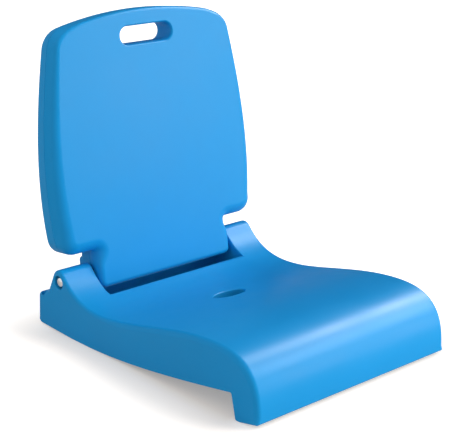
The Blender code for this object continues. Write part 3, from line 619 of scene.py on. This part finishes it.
# Half a spacing off the drain slot, so that no rib across runs into it
rows = [drain_y + (row + 0.5) * rib_spacing for row in range(-rows_ahead, rows_behind)]
mesh = bpy.data.meshes.new("crosswise_ribs")
mesh.from_pydata([(0, heel_y + y, under_pan(y)) for y in rows], [], [])
mesh.attributes.new("width", "FLOAT", "POINT").data.foreach_set(
    "value", [2 * (seat_half_at(y) - end_in_wall * seat_wall) for y in rows])
mesh.attributes.new("drop", "FLOAT", "POINT").data.foreach_set(
    "value", [under_pan(y) - rib_low(y) for y in rows])
crosswise_ribs = add_object("crosswise_ribs", mesh)
tree, given = copying_tree("ribs_across", "Rows", {"Thickness": "Float", "Draft": "Float"})
size = add_node(tree, "ShaderNodeCombineXYZ", {"X": 1.0, "Y": given["Thickness"], "Z": 1.0})
block = add_node(tree, "GeometryNodeMeshCube", {"Size": size})
corner_at = add_node(tree, "GeometryNodeInputPosition")
corner = add_node(tree, "ShaderNodeSeparateXYZ", {0: corner_at})
tip = add_node(tree, "ShaderNodeMath", {0: corner.outputs["Z"], 1: 0.0}, operation="LESS_THAN")
thin = add_node(tree, "ShaderNodeMath", {0: corner.outputs["Y"], 1: given["Draft"]}, operation="MULTIPLY")
pull = add_node(tree, "ShaderNodeMath", {0: thin, 1: tip}, operation="MULTIPLY")
back = add_node(tree, "ShaderNodeMath", {0: pull, 1: -1.0}, operation="MULTIPLY")
move = add_node(tree, "ShaderNodeCombineXYZ", {"Y": back, "Z": -0.5})
drafted = add_node(tree, "GeometryNodeSetPosition", {"Geometry": block, "Offset": move})
width = add_node(tree, "GeometryNodeInputNamedAttribute", {"Name": "width"}, data_type="FLOAT")
drop = add_node(tree, "GeometryNodeInputNamedAttribute", {"Name": "drop"}, data_type="FLOAT")
scale = add_node(tree, "ShaderNodeCombineXYZ", {"X": width, "Y": 1.0, "Z": drop})
copies = add_node(tree, "GeometryNodeInstanceOnPoints", {
    "Points": given["Rows"], "Instance": drafted, "Scale": scale})
make_copies(crosswise_ribs, tree, copies, polypropylene, {"Thickness": rib_thickness, "Draft": rib_draft})
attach(crosswise_ribs, "seat")

# Hinge bushes
# Flanged bushes turned from black acetal rod and pushed in: one in each knuckle, with its flange in the cap's
# recess, and one in each side of the tongue, with its flange against the thrust washer.
axle_bore = 0.0063
bush_radius = 0.0083
edge_break = 0.0003
lead_in = 0.0004
bush_inner = 0.1506
cup_flange = 0.2063
cup_flange_radius = 0.0110
bush_outer = 0.2078
tongue_bush_inner = 0.126
thrust_flange = 0.1463
thrust_radius = 0.0130
tongue_bush_outer = 0.1481
# Self-lubricating acetal: waxy near-black with the faint rings of a lathe tool. The real feed of 0.4 mm is drawn
# at 2.5 mm so that it shows, since a wave's bands lie 2 pi / 20 of a unit apart.
tool_feed = 0.0004
wax_patch = 0.006
acetal, tree, place = new_material("turned_acetal")
feed = add_node(tree, "ShaderNodeTexWave", {"Vector": place, "Scale": 1 / (20 * tool_feed), "Distortion": 0.4},
                wave_type="BANDS", bands_direction="X")
marks = add_node(tree, "ShaderNodeBump", {"Height": feed.outputs[1], "Strength": 0.08, "Distance": 0.0001})
wax = add_node(tree, "ShaderNodeTexNoise", {"Vector": place, "Scale": 1 / wax_patch, "Detail": 2.0})
sheen = add_node(tree, "ShaderNodeMapRange", {"Value": wax, "To Min": 0.36, "To Max": 0.5})
shader = add_node(tree, "ShaderNodeBsdfPrincipled", {
    "Base Color": linear("#17181B"), "Roughness": sheen, "Normal": marks, "IOR": 1.48})
add_node(tree, "ShaderNodeOutputMaterial", {"Surface": shader})
knuckle_profile = [(axle_bore, bush_inner), (bush_radius, bush_inner), (bush_radius, cup_flange),
                   (cup_flange_radius, cup_flange), (cup_flange_radius, bush_outer - lead_in),
                   (cup_flange_radius - edge_break, bush_outer), (axle_bore + lead_in, bush_outer),
                   (axle_bore, bush_outer - lead_in)]
tongue_profile = [(axle_bore, tongue_bush_inner), (bush_radius, tongue_bush_inner), (bush_radius, thrust_flange),
                  (thrust_radius - edge_break, thrust_flange), (thrust_radius, thrust_flange + edge_break),
                  (thrust_radius, tongue_bush_outer - edge_break),
                  (thrust_radius - edge_break, tongue_bush_outer), (axle_bore, tongue_bush_outer)]
for side, word in ((-1, "left"), (1, "right")):
    knuckle_bush = turned("knuckle_bush_" + word + "_turned", knuckle_profile, from_axle(side))
    tongue_bush = turned("tongue_bush_" + word + "_turned", tongue_profile, from_axle(side))
    for bush, body in ((knuckle_bush, "seat"), (tongue_bush, "backrest")):
        smooth(bush)
        bush.data.materials.append(acetal)
        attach(bush, body)
        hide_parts(bush.name.removesuffix("_turned"))

# Thrust washers
# Stamped rings of natural nylon on the axle, between the tongue's bush and the knuckle, that take the side load.
washer_inner = 0.1484
washer_outer = 0.1500
washer_edge = 0.0002
# Milky and slightly yellow, with a cloudiness and a soft sheen that vary over a few millimetres
cloud_size = 0.004
nylon, tree, place = new_material("natural_nylon")
cloud = add_node(tree, "ShaderNodeTexNoise", {"Vector": place, "Scale": 1 / cloud_size, "Detail": 2.0})
milk = add_node(tree, "ShaderNodeMix", {0: cloud, 6: linear("#DAD6C8"), 7: linear("#E6E2D6")},
                data_type="RGBA")
sheen = add_node(tree, "ShaderNodeMapRange", {"Value": cloud, "To Min": 0.38, "To Max": 0.5})
shader = add_node(tree, "ShaderNodeBsdfPrincipled", {
    "Base Color": milk.outputs[2], "Roughness": sheen, "IOR": 1.53})
add_node(tree, "ShaderNodeOutputMaterial", {"Surface": shader})
ring = [(axle_bore, washer_inner), (thrust_radius - washer_edge, washer_inner),
        (thrust_radius, washer_inner + washer_edge), (thrust_radius, washer_outer - washer_edge),
        (thrust_radius - washer_edge, washer_outer), (axle_bore, washer_outer)]
for side, word in ((-1, "left"), (1, "right")):
    washer = turned("thrust_washer_" + word + "_ring", ring, from_axle(side))
    smooth(washer)
    washer.data.materials.append(nylon)
    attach(washer, "seat")
    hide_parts("thrust_washer_" + word)

# Hinge axle
# A drawn steel rod, cut to length, chamfered and zinc plated, that runs through both knuckles and the tongue.
axle_radius = 0.006
axle_end = 0.2108
axle_chamfer = 0.001
# Bright passivated zinc: a cool grey metal whose fine crystals show as a soft mottle 1.5 mm across
crystal_size = 0.0015
zinc, tree, place = new_material("zinc_plated_steel")
bloom = add_node(tree, "ShaderNodeTexVoronoi", {"Vector": place, "Scale": 1 / crystal_size})
grey = add_node(tree, "ShaderNodeMix", {0: bloom, 6: linear("#C3C6CA"), 7: linear("#D3D5D6")},
                data_type="RGBA")
dull = add_node(tree, "ShaderNodeMapRange", {"Value": bloom, "To Min": 0.26, "To Max": 0.38})
shader = add_node(tree, "ShaderNodeBsdfPrincipled", {
    "Base Color": grey.outputs[2], "Roughness": dull, "Metallic": 1.0})
add_node(tree, "ShaderNodeOutputMaterial", {"Surface": shader})


def along_axle(point):
    """Places a turned profile on the hinge axis, its distances running from left to right."""
    u, v, along = point
    return (along, hinge.y + u, axle_height + v)


axle = turned("hinge_axle_rod", [
    (0, -axle_end), (axle_radius - axle_chamfer, -axle_end), (axle_radius, axle_chamfer - axle_end),
    (axle_radius, axle_end - axle_chamfer), (axle_radius - axle_chamfer, axle_end), (0, axle_end)], along_axle)
smooth(axle)
axle.data.materials.append(zinc)
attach(axle, "seat")
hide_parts("hinge_axle")

# Axle caps
# Domed push-on caps drawn from thin steel and polished, one on each end of the axle, flush with the knuckle.
cap_radius = 0.0088
cap_rim = 0.2081
cap_socket = 0.2111
dome_start = 0.2096
dome_rise = 0.0041
dome_steps = 14
# Barrel-polished: almost a mirror, broken by a faint haze and by fine random scratches. These are some 0.05 mm
# apart and are drawn at 1.2 mm so that they show.
scratch_size = 0.0012
polished, tree, place = new_material("polished_steel")
scratch = add_node(tree, "ShaderNodeTexNoise", {"Vector": place, "Scale": 1 / scratch_size, "Detail": 4.0,
                                                "Roughness": 0.7})
nicks = add_node(tree, "ShaderNodeBump", {"Height": scratch, "Strength": 0.03, "Distance": 0.0001})
haze = add_node(tree, "ShaderNodeMapRange", {"Value": scratch, "To Min": 0.06, "To Max": 0.14})
shader = add_node(tree, "ShaderNodeBsdfPrincipled", {
    "Base Color": linear("#DADCDF"), "Roughness": haze, "Metallic": 1.0, "Normal": nicks})
add_node(tree, "ShaderNodeOutputMaterial", {"Surface": shader})
dome = [(cap_radius * math.cos(a), dome_start + dome_rise * math.sin(a)) for a in
        [math.pi / 2 * step / dome_steps for step in range(dome_steps)]]
cap_profile = [(0, cap_socket), (axle_bore, cap_socket), (axle_bore, cap_rim), (cap_radius - edge_break, cap_rim),
               (cap_radius, cap_rim + edge_break), *dome, (0, dome_start + dome_rise)]
for side, word in ((-1, "left"), (1, "right")):
    cap = turned("axle_cap_" + word + "_dome", cap_profile, from_axle(side))
    smooth(cap)
    cap.data.materials.append(polished)
    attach(cap, "seat")
    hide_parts("axle_cap_" + word)

# Stop buffers
# Two strips of black rubber, moulded with rounded edges and glued to the seat's beam, where the heel lands.
recline = math.radians(6.0)
buffer_edge = 0.0008
# Vulcanised rubber: matt charcoal with a greyish bloom in patches of a centimetre and a fine dry tooth of 0.8 mm
bloom_patch = 0.01
tooth_size = 0.0008
rubber, tree, place = new_material("moulded_rubber")
bloom = add_node(tree, "ShaderNodeTexNoise", {"Vector": place, "Scale": 1 / bloom_patch, "Detail": 3.0})
black = add_node(tree, "ShaderNodeMix", {0: bloom, 6: linear("#161616"), 7: linear("#2B2A29")},
                 data_type="RGBA")
tooth = add_node(tree, "ShaderNodeTexNoise", {"Vector": place, "Scale": 1 / tooth_size, "Detail": 2.0})
dry = add_node(tree, "ShaderNodeBump", {"Height": tooth, "Strength": 0.2, "Distance": 0.0002})
shader = add_node(tree, "ShaderNodeBsdfPrincipled", {
    "Base Color": black.outputs[2], "Roughness": 0.75, "Normal": dry, "IOR": 1.52})
add_node(tree, "ShaderNodeOutputMaterial", {"Surface": shader})
for side, word in ((-1, "left"), (1, "right")):
    low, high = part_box("stop_buffer_" + word)
    fall = math.tan(recline) * (high[1] - low[1])
    outline = [(low[1], low[2]), (high[1], low[2]), (high[1], high[2] - fall), (low[1], high[2])]
    buffer = prism("stop_buffer_" + word + "_strip", outline, low[0], high[0], lambda p: (p[2], p[0], p[1]))
    edges = buffer.modifiers.new("edges", "BEVEL")
    edges.width = buffer_edge
    edges.segments = 3
    settled(buffer)
    smooth(buffer)
    buffer.data.materials.append(rubber)
    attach(buffer, "seat")
    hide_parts("stop_buffer_" + word)

# Backrest, front shell
# The face of the backrest, moulded in the same blue polypropylene: a shallow tray with broad rolled edges, a
# tongue that drops between the knuckles, and a rimmed hand slot. It meets the rear shell along a fine seam.
backrest_frame = Matrix.Translation(hinge) @ Matrix.Rotation(-recline, 4, "X")
back_wall = 0.003
back_top = 0.440
top_crown = 0.025
top_corner = (0.1858, back_top - top_crown)
top_corner_roll = 0.041
top_corner_reach = 0.036
shoulder = (0.209, 0.0433)
shoulder_roll = 0.030
shoulder_reach = 0.031
side_bulge = (0.0188, 0.0293)
tongue_side = 0.146
tongue_low = -0.0235
tongue_roll = 0.012
armpit_roll = 0.003
low_depth = 0.0287
thinning = 0.0087
outline_step = 0.008
crown_steps = 32
side_run = top_corner[1] - shoulder[1]
side_curve = bezier(shoulder, (shoulder[0] + side_bulge[0], shoulder[1] + 0.32 * side_run),
                    (top_corner[0] + side_bulge[1], shoulder[1] + 0.62 * side_run), top_corner, steps=56)
crown = [(top_corner[0] * (1 - step / crown_steps), back_top - top_crown * (1 - step / crown_steps) ** 2)
         for step in range(1, crown_steps + 1)]
side_low = shoulder[1] + shoulder_reach
side_high = top_corner[1] - top_corner_reach
right_half = [(tongue_side, tongue_low, tongue_roll), (tongue_side, shoulder[1], armpit_roll),
              (*shoulder, shoulder_roll), *[p for p in side_curve[1:] if side_low < p[1] < side_high],
              (*top_corner, top_corner_roll), *[p for p in crown if p[0] < top_corner[0] - top_corner_reach]]
corners = rounded(right_half + [(-p[0], *p[1:]) for p in reversed(right_half[:-1])])
back_outline = []
for index, point in enumerate(corners):
    ahead = corners[(index + 1) % len(corners)]
    parts = max(1, math.ceil(math.dist(point, ahead) / outline_step))
    back_outline.extend((point[0] + (ahead[0] - point[0]) * k / parts,
                         point[1] + (ahead[1] - point[1]) * k / parts) for k in range(parts))


def back_depth(z):
    """Half the backrest's thickness at a height over the axle: it thins towards the top."""
    return low_depth - thinning * (z - shoulder[1]) / (back_top - shoulder[1])


# Where the tongue's edge radius gives way to the shoulders', and how far it takes to do so
tongue_stop = 0.012
tongue_margin = 0.003
roll_blend = 0.010


def edge_roll(tongue, low, high):
    """Edge radius at each point of the outline, passing softly from the tongue to the shoulders and the top."""
    radii = []
    for x, z in back_outline:
        on_tongue = z < shoulder[1] - tongue_stop and abs(x) < tongue_side + tongue_margin
        share = min(1, max(0, (z - shoulder[1]) / (back_top - shoulder[1])))
        radii.append(tongue if on_tongue else low + (high - low) * share)
    soft = []
    for here in back_outline:
        near = [(math.exp(-(math.dist(here, there) / roll_blend) ** 2), r)
                for there, r in zip(back_outline, radii)]
        soft.append(sum(w * r for w, r in near) / sum(w for w, r in near))
    return soft


# Half the seam, the steps of the lip beside it as (inwards, outwards from the seam), and where the sides begin to
# lean in
half_seam = 0.00015
seam_lip = ((0.0007, 0.0), (0.0002, 0.0002), (0.0, 0.0007))
lean_from_x = 0.13
lean_fade_x = 0.05
lean_fade_z = 0.04
least_roll = 0.001


def shell_rings(radii, lean):
    """From the inside of the face out to the parting seam, round its lip and on to the outer face."""
    leans = [lean * ease((abs(x) - lean_from_x) / lean_fade_x) * ease((z - shoulder[1]) / lean_fade_z)
             for x, z in back_outline]
    inner = inset(back_outline, [back_wall] * len(back_outline))
    inside = rounded_end(inner, [max(least_roll, r - back_wall) for r in radii],
                         lambda z: back_depth(z) - back_wall, steps=4, leans=leans)
    seam = [[(x, z, half_seam + drop) for x, z in inset(back_outline, [back] * len(back_outline))]
            for back, drop in seam_lip]
    return [*reversed(inside), [(x, z, half_seam) for x, z in inner], *seam,
            *rounded_end(back_outline, radii, back_depth, leans=leans)]


def facing_front(point):
    """Places a point given as (x, height over the axle, depth), its depth running forwards."""
    x, z, depth = point
    return backrest_frame @ Vector((x, -depth, z))


def facing_rear(point):
    """Places a point given as (x, height over the axle, depth), its depth running back."""
    x, z, depth = point
    return backrest_frame @ Vector((x, depth, z))


slot_z = 0.3965
slot_half = (0.055, 0.0155)
past_seam = -0.01
tongue_bore = rod(bore_radius, low=0.135, high=0.156)


def slot_outline(grow):
    """The hand slot's outline, grown all round."""
    radius = slot_half[1] + grow
    reach = slot_half[0] - slot_half[1]
    return [*arc((reach, slot_z), radius, -math.pi / 2, math.pi / 2),
            *arc((-reach, slot_z), radius, math.pi / 2, 3 * math.pi / 2)]


def open_shell(shell, facing, mouth):
    """The hand slot's sleeve, the slot with its mouth rolled over into the face, and the bores for the bushes."""
    sleeve = prism("sleeve", slot_outline(back_wall), half_seam, back_depth(slot_z) - back_wall / 2, facing)
    carve(shell, sleeve, "UNION")
    rings = [[(x, z, past_seam) for x, z in slot_outline(0)]]
    for grow, depth in rolled_mouth(mouth):
        rings.append([(x, z, back_depth(z) - depth) for x, z in slot_outline(grow)])
    carve(shell, loft("slot", rings, facing))
    for side in (-1, 1):
        carve(shell, turned("bush_bore", tongue_bore, from_axle(side)))


front_roll = edge_roll(tongue=0.010, low=0.024, high=0.006)
side_lean = math.radians(18)
front_mouth = 0.005
front_shell = loft("backrest_front", shell_rings(front_roll, side_lean), facing_front)
open_shell(front_shell, facing_front, front_mouth)
smooth(front_shell)
front_shell.data.materials.clear()
front_shell.data.materials.append(polypropylene)
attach(front_shell, "backrest")
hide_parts("backrest_front_shell")

# Backrest, rear shell
# The back of the backrest, a second blue moulding with wells for the screws, and a raised heel behind the tongue
# whose lower edge lands on the buffers. Screws draw it on to the front shell.
rear_roll = edge_roll(tongue=0.006, low=0.008, high=0.008)
rear_mouth = 0.002
rear_shell = loft("backrest_rear", shell_rings(rear_roll, 0.0), facing_rear)
heel_half = 0.1457
heel_low = -0.0232
heel_high = 0.0257
heel_corner = 0.006
heel_roll = 0.003
heel_reach = 0.005
heel_root = 0.009
heel_face = back_depth(0) + heel_reach
heel_outline = rounded([(heel_half, heel_low, heel_corner), (heel_half, heel_high, heel_corner),
                        (-heel_half, heel_high, heel_corner), (-heel_half, heel_low, heel_corner)])
rings = [[(x, z, back_depth(0) - heel_root) for x, z in heel_outline],
         *rounded_end(heel_outline, [heel_roll] * len(heel_outline), lambda z: heel_face, steps=6)]
carve(rear_shell, loft("heel", rings, facing_rear), "UNION")
screw_right = ((0.0773, 0.0695), (0.1787, 0.0869), (0.1831, 0.2218), (0.163, 0.3448), (0.085, 0.3965))
screw_places = [(side * x, z) for x, z in screw_right for side in (-1, 1)]
screw_post_radius = 0.0068
screw_post_low = 0.004
screw_post_in_face = 0.0015
well_floor = 0.015
well_radius = 0.0043
well_roll = 0.0006
over_face = 0.005


def in_back(x, z):
    """Places a turned profile in the backrest, its distances running back from the seam."""
    return lambda point: backrest_frame @ Vector((x + point[0], point[2], z + point[1]))


for x, z in screw_places:
    face = back_depth(z)
    screw_post = rod(screw_post_radius, screw_post_low, face - screw_post_in_face)
    well = recess(well_floor, well_radius, face, well_radius, well_roll, face + over_face, steps=4)
    carve(rear_shell, turned("post", screw_post, in_back(x, z), steps=32), "UNION")
    carve(rear_shell, turned("well", well, in_back(x, z), steps=40))
open_shell(rear_shell, facing_rear, rear_mouth)
smooth(rear_shell)
rear_shell.data.materials.clear()
rear_shell.data.materials.append(polypropylene)
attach(rear_shell, "backrest")
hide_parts("backrest_rear_shell")

# Shell screws
# Ten zinc-plated pan-head screws with cross recesses, driven from behind into the posts of the front shell.
head_radius = 0.004
head_height = 0.0028
head_edge = 0.45
crown_rings = 6
shank_radius = 0.002
shank_end = -0.019
point_radius = 0.0008
point_end = -0.022
cross_bar = (0.0046, 0.0032, 0.0011)
head_gap = 0.0003


def along_screw(point):
    """Places a turned profile along y, with the screw's head to the rear."""
    u, v, along = point
    return (u, along, v)


head = [(head_radius * math.sin(a), head_height * (head_edge + (1 - head_edge) * math.cos(a))) for a in
        [math.pi / 2 * step / crown_rings for step in range(crown_rings + 1)]]
screw = turned("screw", [(0, point_end), (point_radius, point_end), (shank_radius, shank_end), (shank_radius, 0),
                         (head_radius, 0), *reversed(head[1:]), (0, head_height)], along_screw, steps=32)
for turn in (0, math.pi / 2):
    bar = bmesh.new()
    bmesh.ops.create_cube(bar, size=1, matrix=Matrix.Translation((0, head_height, 0))
                          @ Matrix.Rotation(turn, 4, "Y") @ Matrix.Diagonal((*cross_bar, 1)))
    carve(screw, new_piece("cross", bar))
smooth(screw)
mesh = bpy.data.meshes.new("shell_screws")
mesh.from_pydata([backrest_frame @ Vector((x, well_floor + head_gap, z)) for x, z in screw_places], [], [])
shell_screws = add_object("shell_screws", mesh)
tree, given = copying_tree("screws_in_their_wells", "Wells", {"Screw": "Object", "Lean": "Float"})
pattern = add_node(tree, "GeometryNodeObjectInfo", {"Object": given["Screw"]})
tilt = add_node(tree, "ShaderNodeCombineXYZ", {"X": given["Lean"]})
copies = add_node(tree, "GeometryNodeInstanceOnPoints", {
    "Points": given["Wells"], "Instance": pattern.outputs["Geometry"], "Rotation": tilt})
make_copies(shell_screws, tree, copies, zinc, {"Screw": screw, "Lean": -recline})
bpy.data.meshes.remove(screw.data)
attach(shell_screws, "backrest")
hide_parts(*[node for node in frame["nodes"] if node.startswith("screw_")])

# Studio
# A floor of pale seamless paper, a soft key and a low wide lamp from the front right, two lamps that show only in
# the highlights, and a surround that is bright on the chair's left and dim on its right.
floor_half = 12.0
# Footprint box, and the reach within which the floor's camera glow is dimmed as painted shade round the chair
footprint_half = (0.205, 0.215, 0.0)
painted_shade_reach = 0.13
floor_shape = bmesh.new()
bmesh.ops.create_grid(floor_shape, x_segments=8, y_segments=8, size=floor_half)
floor = new_piece("studio_floor", floor_shape)
# Matt paper, a warm off-white with no pattern that shows. It glows for the camera, and faintly in reflections, so
# that it looks white away from the chair. Its camera glow is turned down towards the chair's footprint: painted
# shade that deepens the contact shadow there.
paper, tree, spot = new_material("seamless_paper")
ray = add_node(tree, "ShaderNodeLightPath").outputs
mirrored = add_node(tree, "ShaderNodeMath", {0: ray["Is Glossy Ray"], 1: ray["Is Transmission Ray"]},
                    operation="MAXIMUM")
either_side = add_node(tree, "ShaderNodeVectorMath", {0: spot}, operation="ABSOLUTE")
beyond = add_node(tree, "ShaderNodeVectorMath", {0: either_side, 1: footprint_half}, operation="SUBTRACT")
outside = add_node(tree, "ShaderNodeVectorMath", {0: beyond, 1: (0.0, 0.0, 0.0)}, operation="MAXIMUM")
far = add_node(tree, "ShaderNodeVectorMath", {0: outside}, operation="LENGTH")
# Painted shade: the camera glow drops from 0.85 to 0.30 over the last 0.13 m before the footprint, darkening the
# floor round the chair
glow = add_node(tree, "ShaderNodeMapRange", {"Value": far.outputs["Value"], "From Min": 0.0,
                                             "From Max": painted_shade_reach, "To Min": 0.30, "To Max": 0.85})
shown = add_node(tree, "ShaderNodeMath", {0: ray["Is Camera Ray"], 1: glow}, operation="MULTIPLY")
lift_with_painted_shade = add_node(tree, "ShaderNodeMath", {0: mirrored, 1: 0.2, 2: shown}, operation="MULTIPLY_ADD")
shader = add_node(tree, "ShaderNodeBsdfPrincipled", {
    "Base Color": linear("#DFD4CA"), "Roughness": 0.9, "Specular IOR Level": 0.0,
    "Emission Color": (1, 1, 1, 1), "Emission Strength": lift_with_painted_shade})
add_node(tree, "ShaderNodeOutputMaterial", {"Surface": shader})
floor.data.materials.append(paper)

# The surround lights the chair by where a ray goes, a little more in reflections, and is white to the camera
world = bpy.data.worlds.new("studio_surround")
bpy.context.scene.world = world
world.use_nodes = True
tree = world.node_tree
tree.nodes.clear()
way = add_node(tree, "ShaderNodeTexCoord").outputs["Generated"]
bright_side = Vector((-0.98, -0.05, 0.15)).normalized()
toward = add_node(tree, "ShaderNodeVectorMath", {0: way, 1: bright_side}, operation="DOT_PRODUCT")
glow = add_node(tree, "ShaderNodeMapRange", {"Value": toward.outputs["Value"], "From Min": -0.6, "From Max": 0.9,
                                             "To Min": 0.03, "To Max": 0.84}, interpolation_type="SMOOTHSTEP")
ray = add_node(tree, "ShaderNodeLightPath").outputs
mirrored = add_node(tree, "ShaderNodeMath", {0: ray["Is Glossy Ray"], 1: ray["Is Transmission Ray"]},
                    operation="MAXIMUM")
shown = add_node(tree, "ShaderNodeMath", {0: mirrored, 1: 0.25, 2: 1.0}, operation="MULTIPLY_ADD")
level = add_node(tree, "ShaderNodeMath", {0: glow, 1: shown}, operation="MULTIPLY")
white = add_node(tree, "ShaderNodeMath", {0: level, 1: ray["Is Camera Ray"]}, operation="MAXIMUM")
surround = add_node(tree, "ShaderNodeBackground", {"Color": (1, 1, 1, 1), "Strength": white})
add_node(tree, "ShaderNodeOutputWorld", {"Surface": surround})

# The key, a sun as broad as a large softbox, which shines from the front right down and to the rear
key_travel = Vector((-0.58, 0.5, -0.64))
key = bpy.data.lights.new("key_lamp", "SUN")
key.energy = 0.54 * math.pi
key.angle = math.radians(34)
key_lamp = add_object("key_lamp", key)
key_lamp.rotation_euler = key_travel.to_track_quat("-Z", "Y").to_euler()

# Name, width, height, watts, place, target, and whether matt surfaces see it: the gloss lamp shows along the hump
# and the sheen lamp along the lip
area_lamps = (("front_lamp", 1.6, 0.8, 34.0, (1.6, -2.0, 0.45), (0, 0, 0.25), True),
              ("gloss_lamp", 0.6, 1.2, 78.0, (1.65, -0.16, 1.55), (0, -0.2, 0.1), False),
              ("sheen_lamp", 0.9, 0.5, 20.0, (1.12, -0.92, 0.98), (0, -0.24, 0.08), False))
for name, width, height, watts, stand, target, on_matt in area_lamps:
    light = bpy.data.lights.new(name, "AREA")
    light.shape = "RECTANGLE"
    light.size = width
    light.size_y = height
    light.energy = watts
    lamp = add_object(name, light)
    lamp.location = stand
    lamp.rotation_euler = (Vector(target) - lamp.location).to_track_quat("-Z", "Y").to_euler()
    lamp.visible_diffuse = on_matt

# The camera stands to the chair's left and looks down on it; its focal length is in pixels of the image
image_width = 457
focal_length = 1266
look_down = 17.53
look_round = 41.42
camera_left = 1.3229
camera_ahead = 1.6903
camera_height = 0.8406
lens = bpy.data.cameras.new("photo_camera")
lens.sensor_fit = "HORIZONTAL"
lens.sensor_width = 36.0
lens.lens = 36.0 * focal_length / image_width
camera = add_object("photo_camera", lens)
camera.location = (-camera_left, hinge.y - camera_ahead, camera_height)
camera.rotation_euler = (math.radians(90 - look_down), 0, math.radians(-look_round))
bpy.context.scene.camera = camera
bpy.context.scene.view_settings.view_transform = "Standard"
